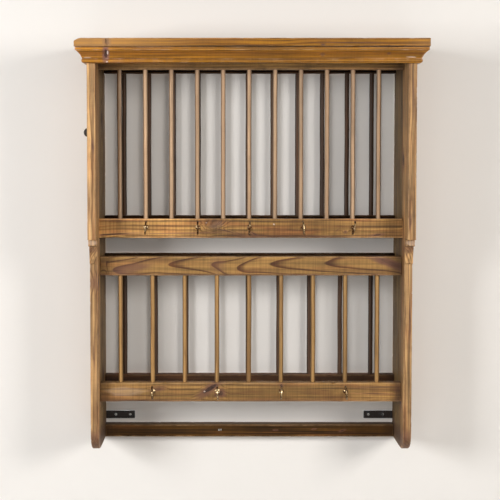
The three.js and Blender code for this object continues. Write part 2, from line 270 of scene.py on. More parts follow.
def new_tree(name, kind, inputs, outputs):
    """An empty node group: its wiring, its inputs by name and a way to feed its outputs."""
    tree = bpy.data.node_groups.new(name, kind)
    for label, socket, default in inputs:
        made = tree.interface.new_socket(name=label, in_out="INPUT", socket_type="NodeSocket" + socket)
        if default is not None:
            made.default_value = default
    for label, socket in outputs:
        tree.interface.new_socket(name=label, in_out="OUTPUT", socket_type="NodeSocket" + socket)
    wiring = Wiring(tree)
    given, result = wiring.node("NodeGroupInput").outputs, wiring.node("NodeGroupOutput").inputs

    def give(**values):
        for key, value in values.items():
            wiring.feed(result[key], value)
    return wiring, given, give


# Shader groups that several woods and metals share


# How the rings sway along the board, how unevenly they are spaced, and where the late wood sets in and ends
SLOW_SWAY = (2.4, 16, 16)
QUICK_SWAY = (14, 90, 90)
QUICK_SHARE = 0.35
RING_RHYTHM = 0.4
LATE_WOOD = 0.9
RING_END = (0.94, 1.0)


def make_growth_rings():
    """Rings round a pith line that runs along X, with dark late wood at each ring's edge."""
    w, given, give = new_tree("Growth Rings", "ShaderNodeTree", [
        ("Vector", "Vector", None), ("Pith", "Vector", (0, 0.09, 0)), ("Spacing", "Float", 0.002),
        ("Wander", "Float", 0.004), ("Uneven", "Float", 1.8), ("Early", "Float", 0.3),
        ("Shift", "Float", 0.0), ("Seed", "Float", 0.0),
    ], [("Late", "Float"), ("Tone", "Float")])
    seeded = w.vector("ADD", given["Vector"], given["Seed"])
    slow = w.times_plus(w.noise(seeded, SLOW_SWAY), 2, -1)
    quick = w.times_plus(w.noise(seeded, QUICK_SWAY), QUICK_SHARE, -QUICK_SHARE / 2)
    across = w.vector("MULTIPLY", w.vector("SUBTRACT", given["Vector"], given["Pith"]), (0, 1, 1))
    radius = w.maths("ADD", w.vector("LENGTH", across), given["Shift"])
    radius = w.maths("ADD", radius, w.times(w.maths("ADD", slow, quick), given["Wander"]))
    rings = w.maths("DIVIDE", radius, given["Spacing"])
    uneven = w.out("ShaderNodeTexNoise", {
        "W": w.times_plus(rings, RING_RHYTHM, given["Seed"]), "Scale": 1.0, "Detail": 1.0},
        noise_dimensions="1D")
    count = w.times_plus(uneven, given["Uneven"], rings)
    share = w.maths("FRACT", count)
    late = w.times(w.between(share, given["Early"], LATE_WOOD), w.between(share, *RING_END, 1, 0))
    whole = w.maths("ADD", w.maths("FLOOR", count), given["Seed"])
    give(Late=late, Tone=w.out("ShaderNodeTexWhiteNoise", {"W": whole}, noise_dimensions="1D"))


# How each mark along the grain is stretched, its detail, and where it shows if it isn't everywhere
FIBRES = {
    "Fibre": ((24, 1300, 1300), 2.0, None), "Streak": ((5, 240, 240), 4.0, None),
    "Patch": ((7, 26, 26), 3.0, None), "Stain": ((9, 70, 70), 3.0, (0.46, 0.66)),
    "Pores": ((22, 620, 620), 3.0, (0.6, 0.72)), "Scraped": ((360, 9, 9), 2.0, None),
}


def make_fibres():
    """Fine fibres, streaks and open pores along X, broad patches, and tool marks across."""
    w, given, give = new_tree("Wood Fibres", "ShaderNodeTree", [
        ("Vector", "Vector", None), ("Seed", "Float", 0.0),
    ], [(name, "Float") for name in FIBRES])
    seeded = w.vector("ADD", given["Vector"], given["Seed"])
    for name, (stretch, detail, shown) in FIBRES.items():
        mark = w.noise(seeded, stretch, detail)
        give(**{name: w.between(mark, *shown) if shown else mark})


# How far from a knot's middle its heart, its halo and its bent rings fade, in its own radii
KNOT_HEART = (1.25, 1.65)
KNOT_HALO = (1.5, 3.4)
KNOT_SWELL = (0.5, 4.2)
KNOT_RAGGED = 1.1
KNOT_RINGS = 17
KNOT_RING_DEPTH = 0.13


def make_knot():
    """A knot in its own space, where its heart is a ball of radius one."""
    w, given, give = new_tree("Knot", "ShaderNodeTree", [
        ("Vector", "Vector", None), ("Seed", "Float", 0.0),
    ], [("Heart", "Float"), ("Halo", "Float"), ("Swell", "Float")])
    ragged = w.even_noise(w.vector("ADD", given["Vector"], given["Seed"]), 1.3, 3.0)
    reach = w.times_plus(ragged, KNOT_RAGGED, w.vector("LENGTH", given["Vector"]))
    wave = w.maths("SINE", w.times(reach, KNOT_RINGS))
    rings = w.times_plus(wave, KNOT_RING_DEPTH, 1 - KNOT_RING_DEPTH)
    give(
        Heart=w.times(w.between(reach, *KNOT_HEART, 1, 0), rings),
        Halo=w.between(reach, *KNOT_HALO, 1, 0), Swell=w.between(reach, *KNOT_SWELL, 1, 0))


RUBBED_SPREAD = 55
RUBBED_RAGGED = 1.6
RUBBED_SHOWN = (0.55, 1.15)
GRIME_SPREAD = 31
GRIME_SHOWN = (0.52, 0.75)


def make_corner_wear():
    """Where corners are rubbed pale, and where wax and dirt have gathered."""
    w, given, give = new_tree("Corner Wear", "ShaderNodeTree", [
        ("Vector", "Vector", None), ("Edge", "Float", 0.0), ("Seed", "Float", 0.0),
    ], [("Rubbed", "Float"), ("Grime", "Float")])
    seeded = w.vector("ADD", given["Vector"], given["Seed"])
    patchy = w.times_plus(w.even_noise(seeded, RUBBED_SPREAD, 3.0), RUBBED_RAGGED, -RUBBED_RAGGED / 2)
    give(
        Rubbed=w.between(w.maths("ADD", given["Edge"], patchy), *RUBBED_SHOWN),
        Grime=w.between(w.even_noise(seeded, GRIME_SPREAD, 4.0), *GRIME_SHOWN))


# Woods

GRAIN_TURNS = {"X": (0, 0, 0), "Y": (0, 0, -math.pi / 2), "Z": (0, math.pi / 2, 0)}

# What a wood is like unless its board says otherwise: lengths in metres, the rest mostly shares
WOOD = dict(
    seed=1.0, pith=(0, 0.09, 0.004), spacing=0.0024, wander=0.004, uneven=1.8, early=0.3, contrast=0.8,
    streak=0.2, patch=0.16, stain=0.4, scraped=0.05, pores=0.4, rubbed=0.4, grime=0.25, ends=None,
    own_ends=0.5, marks=(), coats=(), flames=None, own_tone=0.0, tone=1.0, turned=0.0, roughness=0.55,
    shine=0.3, coat=0.0, bump=0.4)


def skin(axis, low, high, tint, share, way=1, kind="MIX", ragged=0.0, fade=None):
    """A tint on one side of a board, which comes in between two distances from the board's centre.

    They are in millimetres along an axis of the board. A fade is another axis, way and two distances,
    where the tint goes out again.
    """
    return SimpleNamespace(
        axis=axis, low=low * MM, high=high * MM, tint=tint, share=share, way=way, kind=kind,
        ragged=ragged * MM, fade=fade)


def tinted(axis, low, high, tint, way=1, **more):
    """A skin that multiplies the colour under it."""
    return skin(axis, low, high, tint, 1.0, way, "MULTIPLY", **more)


def knot(
        x, z, wide, high, tilt=0.0, heart=1.0, halo=0.7, lift=0.0, scar=0.0,
        face="front", at=0.0, through=300):
    """A knot, crack, stain or scar, or a patch of painted shade, shadow or highlight, placed along and
    across the grain from the board's centre.

    Its places and sizes are in millimetres. It goes through the board from front to back, or from side
    to side where face is "side".
    """
    centre, size, turns = [x * MM, at * MM, z * MM], [wide * MM, through * MM, high * MM], [0, 1, 0]
    if face == "side":
        for values in (centre, size, turns):
            values[1], values[2] = values[2], values[1]
    turns = [-math.radians(tilt) * share for share in turns]
    return SimpleNamespace(
        centre=centre, size=size, turns=turns, heart=heart, halo=halo, lift=lift * MM, scar=scar)


def crack(x, z, wide, high, tilt, heart, lift=0.0):
    """A dark line with no halo round it."""
    return knot(x, z, wide, high, tilt, heart, 0.0, lift)


def knock(x, z, wide, high, scar):
    """A pale scar, which also draws painted highlights."""
    return knot(x, z, wide, high, heart=0, halo=0, scar=scar)


def new_material(name):
    material = bpy.data.materials.new(name)
    material.use_nodes = True
    wiring = Wiring(material.node_tree)
    return material, wiring, material.node_tree.nodes["Principled BSDF"].inputs


def marks_of(w, space, look):
    """The board's knots, stains, scars and painted shade, shadows and highlights together, and how far they
    lift the rings.
    """
    heart, halo, scar, lift = 0.0, 0.0, 0.0, 0.0
    for count, mark in enumerate(look.marks):
        local = w.mapping(space, mark.centre, mark.turns, mark.size, "TEXTURE")
        made = w.group("Knot", {"Vector": local, "Seed": look.seed + count})
        heart = w.maths("MAXIMUM", heart, w.times(made["Heart"], mark.heart))
        halo = w.maths("MAXIMUM", halo, w.times(made["Halo"], mark.halo))
        if mark.scar:
            scar = w.maths("MAXIMUM", scar, w.times(made["Heart"], mark.scar))
        lift = w.times_plus(made["Swell"], mark.lift, lift)
    return heart, halo, scar, lift


def flamed(w, space, look, lift):
    """Pith and shift that draw pointed flames whose tips stand at given places along the board's face."""
    tips, half, sway, face = look.flames
    depth = (len(tips) - 1) * look.spacing
    along = w.between(w.axes(space)[0], -half, half, smooth=False)
    stands = [(x * MM + half) / (2 * half) for x, _ in tips]
    steps = [(stand, 1 - i / (len(tips) - 1)) for i, stand in enumerate(stands)]
    rows = [(stand, 0.5 + z * MM / sway) for stand, (_, z) in zip(stands, tips)]
    whole = (look.pith[1] + face) % look.spacing
    fall = w.maths("SUBTRACT", w.curve(along, [(0, 1), *steps, (1, 0)]), whole / depth)
    row = w.times_plus(w.curve(along, [(0, 0.5), *rows, (1, 0.5)]), sway, -sway / 2)
    return w.joined(X=0.0, Y=look.pith[1], Z=row), w.times_plus(fall, depth, lift)


# Between which values of each noise its effect comes in, and how bright the darkest and palest rings are
MIDDLING = (0.3, 0.7)
SCRAPED_RANGE = (0.35, 0.65)
RING_TONES = (0.9, 1.08)
FLANK_SHADE_RANGE = (0.5, 0.99)


def shaded(w, fibres, rings, look):
    """How bright the wood is from streaks, patches, tool marks, its own rings and its own piece, with
    painted shade on a round piece's sides and a painted highlight on its front where turned is set.
    """
    low, high = look.tone * (1 - look.streak), look.tone * (1 + look.streak)
    shade = w.between(fibres["Streak"], *MIDDLING, low, high)
    shade = w.times(shade, w.between(fibres["Patch"], *MIDDLING, 1 - look.patch, 1 + look.patch))
    shade = w.times(shade, w.between(rings["Tone"], 0, 1, *RING_TONES, smooth=False))
    shade = w.times(shade, w.between(fibres["Scraped"], *SCRAPED_RANGE, 1 - look.scraped, 1 + look.scraped))
    # Painted shade on the sides of a round piece and a painted highlight on its front, from the way its
    # surface faces
    if look.turned:
        normal = w.node("ShaderNodeNewGeometry").outputs["Normal"]
        front = w.maths("ABSOLUTE", w.axes(normal)[1])
        shade = w.times(shade, w.between(front, *FLANK_SHADE_RANGE, 1 - look.turned, 1 + look.turned / 4))
    if look.own_tone:
        low, high = 1 - look.own_tone, 1 + look.own_tone
        shade = w.times(shade, w.between(w.attribute("own_tone"), 0, 1, low, high, smooth=False))
    return shade


def skinned(w, space, fibres, base, coat):
    """The colour with one tint laid over it, out to a ragged line."""
    axes = w.axes(space)
    place = w.times(axes[coat.axis], coat.way)
    if coat.ragged:
        place = w.times_plus(w.maths("SUBTRACT", fibres["Patch"], 0.5), coat.ragged, place)
    share = w.between(place, coat.low, coat.high, 0, coat.share)
    if coat.fade:
        axis, way, low, high = coat.fade
        share = w.times(share, w.between(w.times(axes[axis], way), low * MM, high * MM, 1, 0))
    return w.blend(share, base, coat.tint, coat.kind)


def bare(w, rings, fibres, look, colours):
    """Early and late wood, stained and shaded along the grain."""
    base = w.blend(w.times(rings["Late"], look.contrast), look.light, look.dark)
    stained = w.blend(1.0, colours.stain, w.times_plus(rings["Late"], -0.5, 1.0), "MULTIPLY")
    base = w.blend(w.times(fibres["Stain"], look.stain), base, stained)
    return w.blend(1.0, base, shaded(w, fibres, rings, look), "MULTIPLY")


# How far from a rail's end the darkening in the joint reaches: grime, and painted shade where the side
# board shades the rail
DARK_END = 30 * MM


def aged(w, space, base, halo, fibres, wear, look, colours):
    """The bare wood with the knots' halos, rubbed corners, open pores, grime, ends darkened by grime and
    painted shade, and coats.
    """
    base = w.blend(halo, base, colours.halo)
    base = w.blend(w.times(wear["Rubbed"], look.rubbed), base, colours.rubbed)
    base = w.blend(w.times(fibres["Pores"], look.pores), base, look.dark, "MULTIPLY")
    base = w.blend(w.times(wear["Grime"], look.grime), base, colours.grime)
    if look.ends:
        along = w.maths("ABSOLUTE", w.axes(space)[0])
        end = w.between(along, look.ends - DARK_END, look.ends, 0, look.own_ends)
        base = w.blend(end, base, colours.grime)
    for coat in look.coats:
        base = skinned(w, space, fibres, base, coat)
    return base


# How high each part of the grain stands or how deep it lies, against the fibres
LATE_RISE = 0.5
PORE_SINK = -0.8
SCRAPED_RISE = 0.25
HEART_SINK = -1.0
GRAIN_DEPTH = 0.6 * MM


def relief(w, rings, fibres, heart, look):
    """The grain as small hills and hollows."""
    height = w.times_plus(rings["Late"], LATE_RISE, fibres["Fibre"])
    height = w.times_plus(fibres["Pores"], PORE_SINK, height)
    height = w.times_plus(fibres["Scraped"], SCRAPED_RISE, height)
    height = w.times_plus(heart, HEART_SINK, height)
    return w.out("ShaderNodeBump", {"Strength": look.bump, "Distance": GRAIN_DEPTH, "Height": height})


# How the roughness changes along the streaks, on rubbed corners and on scars
SMOOTHER = -0.06
ROUGHER = 0.1
RUBBED_SMOOTH = -0.1
SCAR_SMOOTH = -0.3
COAT_ROUGHNESS = 0.3


def wood(name, centre, grain, paints, colours, **changes):
    """A waxed, worn wood whose grain runs along an axis of the rack through a board's centre."""
    look = SimpleNamespace(**{**WOOD, **changes})
    look.light, look.dark = getattr(colours, paints + "_light"), getattr(colours, paints + "_dark")
    material, w, shader = new_material(name)
    turn = Euler(GRAIN_TURNS[grain])
    place = w.place()
    space = w.mapping(place, -(turn.to_matrix() @ Vector(centre)), turn)
    heart, halo, scar, lift = marks_of(w, space, look)
    pith, lift = flamed(w, space, look, lift) if look.flames else (look.pith, lift)
    rings = w.group("Growth Rings", {
        "Vector": space, "Pith": pith, "Spacing": look.spacing, "Wander": look.wander,
        "Uneven": look.uneven, "Early": look.early, "Shift": lift, "Seed": look.seed})
    fibres = w.group("Wood Fibres", {"Vector": space, "Seed": look.seed})
    wear = w.group("Corner Wear", {"Vector": place, "Edge": w.attribute("edge"), "Seed": look.seed})
    base = aged(w, space, bare(w, rings, fibres, look, colours), halo, fibres, wear, look, colours)
    base = w.blend(heart, base, colours.knot)
    rough = w.between(fibres["Streak"], *MIDDLING, look.roughness + SMOOTHER, look.roughness + ROUGHER)
    rough = w.times_plus(wear["Rubbed"], RUBBED_SMOOTH, rough)
    if any(mark.scar for mark in look.marks):
        base = w.blend(scar, base, colours.scar)
        rough = w.times_plus(scar, SCAR_SMOOTH, rough)
    w.feed(shader["Base Color"], base)
    w.feed(shader["Roughness"], rough)
    w.feed(shader["Specular IOR Level"], look.shine)
    w.feed(shader["Coat Weight"], look.coat)
    w.feed(shader["Coat Roughness"], COAT_ROUGHNESS)
    w.feed(shader["Normal"], relief(w, rings, fibres, heart, look))
    return material


BRIGHT_FROM = (0.62, 0.92)
RUBBED_BRIGHT = 0.3
DULL_ROUGHNESS = 0.22
METAL_GRAIN = 300.0
METAL_BUMP = 0.25
METAL_DEPTH = 0.3 * MM


def metal(name, bright, dull, shine, roughness, grain=METAL_GRAIN, metallic=1.0):
    """A metal whose dull skin is worn through to bright metal in places and on its edges."""
    material, w, shader = new_material(name)
    place = w.place()
    worn = w.group("Corner Wear", {"Vector": place, "Edge": w.attribute("edge"), "Seed": shine * 10})
    spots = w.maths("ADD", w.even_noise(place, grain, 4.0), w.times(worn["Rubbed"], RUBBED_BRIGHT))
    share = w.between(spots, *(limit - shine for limit in BRIGHT_FROM))
    w.feed(shader["Base Color"], w.blend(share, dull, bright))
    w.feed(shader["Roughness"], w.between(share, 0, 1, roughness + DULL_ROUGHNESS, roughness))
    w.feed(shader["Metallic"], metallic)
    w.feed(shader["Normal"], w.out("ShaderNodeBump", {
        "Strength": METAL_BUMP, "Distance": METAL_DEPTH, "Height": w.even_noise(place, grain * 2, 3.0)}))
    return material


# Meshes

SHARP = math.radians(25)
CORNER_TURNS = 3
CORNER_SHARE = 0.4


def bend(start, pull, end, s):
    """A point, a share s of the way along a curve from start to end that a third point pulls aside."""
    return start * (1 - s) ** 2 + pull * 2 * s * (1 - s) + end * s * s


def softened(outline, radius):
    """The closed outline with each sharp corner drawn as a short curve."""
    soft = []
    for i, corner in enumerate(outline):
        back = outline[i - 1] - corner
        on = outline[(i + 1) % len(outline)] - corner
        if back.angle(-on) < SHARP:
            soft.append(corner)
            continue
        reach = min(radius, CORNER_SHARE * back.length, CORNER_SHARE * on.length)
        start, end = corner + back.normalized() * reach, corner + on.normalized() * reach
        soft += [bend(start, corner, end, turn / CORNER_TURNS) for turn in range(CORNER_TURNS + 1)]
    return soft


def resampled(outline, step):
    """The closed outline with extra points, none further apart than the step."""
    points = []
    for point, after in zip(outline, outline[1:] + outline[:1]):
        parts = max(1, math.ceil((after - point).length / step))
        points += [point.lerp(after, k / parts) for k in range(parts)]
    return points


def outward(loop):
    """A unit vector out of the shape at each point of a counterclockwise loop."""
    sides = []
    for point, after in zip(loop, loop[1:] + loop[:1]):
        along = (after - point).normalized()
        sides.append(Vector((along.y, -along.x)))
    return [(sides[i - 1] + sides[i]).normalized() for i in range(len(loop))]


# Turns below this, in radians, leave plenty of room; others take a share of the shorter side
NO_TURN = 0.03
RIM_SHARE = 0.75
ROOM_SLOPE = 0.5
PLENTY = 1.0


def roomy(loop):
    """The largest corner radius that fits at each point of a loop: small where the loop turns tightly."""
    count = len(loop)
    gaps = [(loop[(i + 1) % count] - loop[i]).length for i in range(count)]
    most = []
    for i, point in enumerate(loop):
        before, after = point - loop[i - 1], loop[(i + 1) % count] - point
        turn = -before.angle_signed(after)
        most.append(RIM_SHARE * min(before.length, after.length) / turn if turn > NO_TURN else PLENTY)
    for i in [*range(count), *range(count)]:
        most[i] = min(most[i], most[i - 1] + ROOM_SLOPE * gaps[i - 1])
    for i in [*range(count), *range(count)][::-1]:
        most[i] = min(most[i], most[(i + 1) % count] + ROOM_SLOPE * gaps[i])
    return most


FAR_AWAY = 1e9


def distances(points, loops):
    """How far each point is from the nearest loop, and whether it is inside them all, as two arrays."""
    nearest = np.full(len(points), FAR_AWAY)
    inside = np.zeros(len(points), bool)
    x, y = points[:, 0], points[:, 1]
    for loop in loops:
        for a, b in zip(loop, loop[1:] + loop[:1]):
            side = b - a
            share = np.clip(((x - a.x) * side.x + (y - a.y) * side.y) / side.length_squared, 0, 1)
            gap = np.hypot(x - a.x - share * side.x, y - a.y - share * side.y)
            nearest = np.minimum(nearest, gap)
            if a.y != b.y:
                inside ^= ((a.y > y) != (b.y > y)) & (x < a.x + (y - a.y) / side.y * side.x)
    return nearest, inside


def as_array(points):
    return np.array([(p.x, p.y) for p in points])


GRID_CLEARANCE = 0.55
RING_CLEARANCE = 0.8


def inner_points(loops, step):
    """Points spread over the inside of the loops, clear of their lines."""
    xs, ys = [p.x for p in loops[0]], [p.y for p in loops[0]]
    across = np.arange(min(xs) + step / 2, max(xs), step)
    up = np.arange(min(ys) + step / 2, max(ys), step)
    grid = np.array([(x + (row % 2) * step / 2, y) for row, y in enumerate(up) for x in across])
    nearest, inside = distances(grid, loops)
    return [Vector(p) for p in grid[inside & (nearest > GRID_CLEARANCE * step)]]


def ring_inside(loops, gap):
    """Points at an even distance inside the loops, so that wear ends close to the corners."""
    found = [p - n * gap for loop in loops for p, n in zip(loop, outward(loop))]
    nearest, inside = distances(as_array(found), loops)
    return [p for p, ok in zip(found, inside & (nearest > RING_CLEARANCE * gap)) if ok]


FILL_INSIDE = 2
SAME_PLACE = 1e-7


def filled(loops, inner=()):
    """Faces over the inside of loops, through points between them. All are numbered in one row."""
    bounds = []
    for loop in loops:
        start = len(bounds)
        bounds += [(start + i, start + (i + 1) % len(loop)) for i in range(len(loop))]
    spots = [p for loop in loops for p in loop] + [*inner]
    _, _, faces, sources, _, _ = geometry.delaunay_2d_cdt(spots, bounds, [], FILL_INSIDE, SAME_PLACE)
    return [[sources[i][0] for i in face] for face in faces]


def add_object(name, data):
    made = bpy.data.objects.new(name, data)
    bpy.context.scene.collection.objects.link(made)
    return made


CREASE = math.radians(40)


def smoothed(mesh):
    mesh.shade_smooth()
    mesh.set_sharp_from_angle(angle=CREASE)


def add_mesh(name, points, faces, material, edge):
    """A closed, smooth mesh whose faces point outwards. Edge tells how close each point is to a corner."""
    mesh = bpy.data.meshes.new(name)
    mesh.from_pydata(points, [], faces)
    mesh.attributes.new("edge", "FLOAT", "POINT").data.foreach_set("value", edge)
    shape = bmesh.new()
    shape.from_mesh(mesh)
    bmesh.ops.recalc_face_normals(shape, faces=shape.faces)
    shape.to_mesh(mesh)
    shape.free()
    smoothed(mesh)
    mesh.materials.append(material)
    return add_object(name, mesh)


ARC_TURNS = 3


def rim_stations(thickness, front, back, straight):
    """Across a board's edge: pairs of inset and depth that round off both corners."""
    angles = [math.pi / 2 * turn / ARC_TURNS for turn in range(ARC_TURNS + 1)]
    stations = [(front * (1 - math.sin(a)), front * (1 - math.cos(a))) for a in angles]
    for turn in range(1, straight):
        stations.append((0, front + (thickness - front - back) * turn / straight))
    stations += [(back * (1 - math.sin(a)), thickness - back * (1 - math.cos(a))) for a in angles[::-1]]
    return stations


WEAR_REACH = 3.0 * MM
WEAR_RING = 2.4 * MM


def worn_rim(loop, thickness, radius, straight, base):
    """Points, edge values and faces round one loop of a board, and how many points cross its edge."""
    points, edge = [], []
    for p, n, most in zip(loop, outward(loop), roomy(loop)):
        front, back = (min(most, radius(p.x, p.y, side)) for side in (0, 1))
        stations = rim_stations(thickness, front, back, straight)
        for inset, depth in stations:
            q = p - n * inset
            points.append((q.x, q.y, depth))
            edge.append(1 - min(1, max(0, min(depth, thickness - depth) - MM) / WEAR_REACH))
    rings = len(stations)
    faces = []
    for i in range(len(loop)):
        j = (i + 1) % len(loop)
        for k in range(rings - 1):
            a, b = base + i * rings + k, base + j * rings + k
            faces.append((a, b, b + 1, a + 1))
    return points, edge, faces, rings


def worn_board(name, outline, thickness, place, radius, material, steps, holes=(), straight=5):
    """A board with rounded, slightly uneven corners.

    The outline and the holes are loops in the board's own plane. place(a, b, t) puts a point of that plane
    at a depth t from the front face. radius(a, b, side) is the corner's radius there; side 0 is the front.
    """
    points, faces, edge = [], [], []
    caps = ([], [])
    for loop in [resampled(outline, steps[0]), *holes]:
        base = len(points)
        rim, worn, around, rings = worn_rim(loop, thickness, radius, straight, base)
        points += rim
        edge += worn
        faces += around
        for cap, first in zip(caps, (0, rings - 1)):
            cap.append([base + i * rings + first for i in range(len(loop))])
    for depth, cap in zip((0, thickness), caps):
        flat = [[Vector(points[i][:2]) for i in loop] for loop in cap]
        inner = ring_inside(flat, WEAR_RING) + inner_points(flat, steps[1])
        known = [i for loop in cap for i in loop] + [*range(len(points), len(points) + len(inner))]
        if inner:
            edge += [1 - min(1, gap / WEAR_REACH) for gap in distances(as_array(inner), flat)[0]]
        points += [(p.x, p.y, depth) for p in inner]
        faces += [tuple(known[i] for i in face) for face in filled(flat, inner)]
    return add_mesh(name, [place(*p) for p in points], faces, material, edge)


def ring_faces(rows, size):
    """Faces between rows of points that run round a shape."""
    faces = []
    for row in range(rows - 1):
        low, high = row * size, (row + 1) * size
        for k in range(size):
            after = (k + 1) % size
            faces.append((low + k, low + after, high + after, high + k))
    return faces


SECTION_ROUNDING = 1 * MM
SECTION_FINEST = 0.05 * MM
SECTION_TURN = math.radians(22)


def swept(name, section, ends, place, material, steps):
    """A moulding: a section of projection and height, drawn between two ends that may be mitred."""
    loop = resampled(softened(section, SECTION_ROUNDING), steps[0])
    loop = [p for p, after in zip(loop, loop[1:] + loop[:1]) if (after - p).length > SECTION_FINEST]
    turns = []
    for i, p in enumerate(loop):
        before, after = p - loop[i - 1], loop[(i + 1) % len(loop)] - p
        turns.append(min(1, before.angle(after) / SECTION_TURN))
    (start, slope_in), (end, slope_out) = ends
    count = max(2, round(abs(end - start) / steps[1]))
    points, edge = [], []
    for k in range(count + 1):
        s = k / count
        edge += [1.0] * len(loop) if k in (0, count) else turns
        for p in loop:
            along = (start + slope_in * p.x) * (1 - s) + (end + slope_out * p.x) * s
            points.append(place(along, p.x, p.y))
    faces = ring_faces(count + 1, len(loop))
    for base in (0, count * len(loop)):
        faces += [tuple(base + i for i in face) for face in filled([loop])]
    return add_mesh(name, points, faces, material, edge)


def dent(place, size, depth):
    """A hollow at a point, in millimetres: its size along each axis and how deep it is pressed in."""
    return SimpleNamespace(place=Vector(place) * MM, size=Vector(size) * MM, depth=depth * MM)


# How fine the plane marks and the chips are, and how the chips gather
PLANE_WAVES = 34
CHIP_WAVES = 130
CHIP_GROUPS = 37
CHIP_FLOOR = 0.34
CHIP_GAIN = 1.6
DENT_ROUNDING = 1.5


def weather(piece, seed, sizes, dents=()):
    """Presses plane marks, chipped corners and single dents into a board."""
    mesh = piece.data
    normals = [vertex.normal.copy() for vertex in mesh.vertices]
    edges = [item.value for item in mesh.attributes["edge"].data]
    far = Vector((seed, seed * 1.7, -seed))
    for vertex, normal, edge in zip(mesh.vertices, normals, edges):
        place = vertex.co
        depth = sizes.unevenness * (0.5 + 0.5 * noise.noise(place * PLANE_WAVES + far))
        chip = noise.noise(place * CHIP_WAVES + far) + 0.5 * noise.noise(place * CHIP_GROUPS - far)
        depth += sizes.chipping * edge * max(0.0, chip - CHIP_FLOOR) * CHIP_GAIN
        for item in dents:
            reach = place - item.place
            away = sum((reach[i] / item.size[i]) ** 2 for i in range(3))
            if away < 1:
                depth += item.depth * (1 - away) ** DENT_ROUNDING
        vertex.co = place - normal * depth
    mesh.update()


def circle(sides):
    """Cosine and sine at even turns."""
    return [(math.cos(math.tau * k / sides), math.sin(math.tau * k / sides)) for k in range(sides)]


def lathe(profile, sides):
    """Points and faces of a turned shape from pairs of radius and height, with its ends closed."""
    around = circle(sides)
    points = [Vector((radius * c, radius * s, height)) for radius, height in profile for c, s in around]
    faces = ring_faces(len(profile), sides)
    for row in (0, len(profile) - 1):
        points.append(Vector((0, 0, profile[row][1])))
        middle = len(points) - 1
        faces += [(row * sides + k, row * sides + (k + 1) % sides, middle) for k in range(sides)]
    return points, faces


def tube(path, radii, sides):
    """Points and faces of a round wire in the plane x = 0, closed at both ends."""
    points = []
    for i, (p, radius) in enumerate(zip(path, radii)):
        along = (path[min(i + 1, len(path) - 1)] - path[max(i - 1, 0)]).normalized()
        across = Vector((1, 0, 0))
        up = across.cross(along)
        points += [p + (across * c + up * s) * radius for c, s in circle(sides)]
    ends = [tuple(range(sides)), tuple(range(len(points) - sides, len(points)))]
    return points, ring_faces(len(path), sides) + ends


def carve(piece, cutter):
    """Takes another object's shape out of a piece, which shows once the piece is baked or evaluated."""
    cut = piece.modifiers.new("cut", "BOOLEAN")
    cut.operation = "DIFFERENCE"
    cut.object = cutter
    cut.solver = "EXACT"


def baked(piece):
    """Makes an object with modifiers into one plain mesh."""
    rough = piece.data
    solid = piece.evaluated_get(bpy.context.evaluated_depsgraph_get())
    mesh = bpy.data.meshes.new_from_object(solid)
    piece.modifiers.clear()
    piece.data = mesh
    mesh.name = piece.name
    bpy.data.meshes.remove(rough)


def cut_box(piece, low, high):
    """Takes a box out of a finished piece."""
    box = bpy.data.meshes.new("notch")
    shape = bmesh.new()
    bmesh.ops.create_cube(shape, size=1.0)
    for vertex in shape.verts:
        vertex.co = [low[i] + (high[i] - low[i]) * (vertex.co[i] + 0.5) for i in range(3)]
    shape.to_mesh(box)
    shape.free()
    cutter = add_object("notch", box)
    carve(piece, cutter)
    baked(piece)
    bpy.data.objects.remove(cutter)


def settle(piece, slot, *nodes):
    """Ties a finished piece to the rack, in place of the plain solids that are named."""
    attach(piece, "root")
    if nodes:
        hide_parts(*nodes)


# Geometry Nodes for what repeats


DOWEL_POINTS = 24
DOWELS_APART = 7.3
SEEDS_APART = 3.1
BOW_WAVES = 9
BOW_STRETCH = (4, 4, 0)
RIPPLE = (1.3, 1, 5)
MEAN_GIRTH = 0.985


def dowel_lines(w, given):
    """One line per dowel, which dowel a point belongs to, and how high the point stands."""
    row = w.out("GeometryNodeMeshLine", {
        "Count": given["Count"], "Start Location": given["First"], "Offset": w.joined(X=given["Pitch"])})
    line = w.out("GeometryNodeCurvePrimitiveLine", {"End": w.joined(Z=given["Height"])})
    line = w.out("GeometryNodeResampleCurve", {"Curve": line, "Count": DOWEL_POINTS})
    spread = w.out("GeometryNodeInstanceOnPoints", {"Points": row, "Instance": line})
    lines = w.out("GeometryNodeRealizeInstances", {"Geometry": spread})
    place = w.axes(w.vector("SUBTRACT", w.out("GeometryNodeInputPosition"), given["First"]))
    return lines, w.maths("ROUND", w.maths("DIVIDE", place[0], given["Pitch"])), place[2]


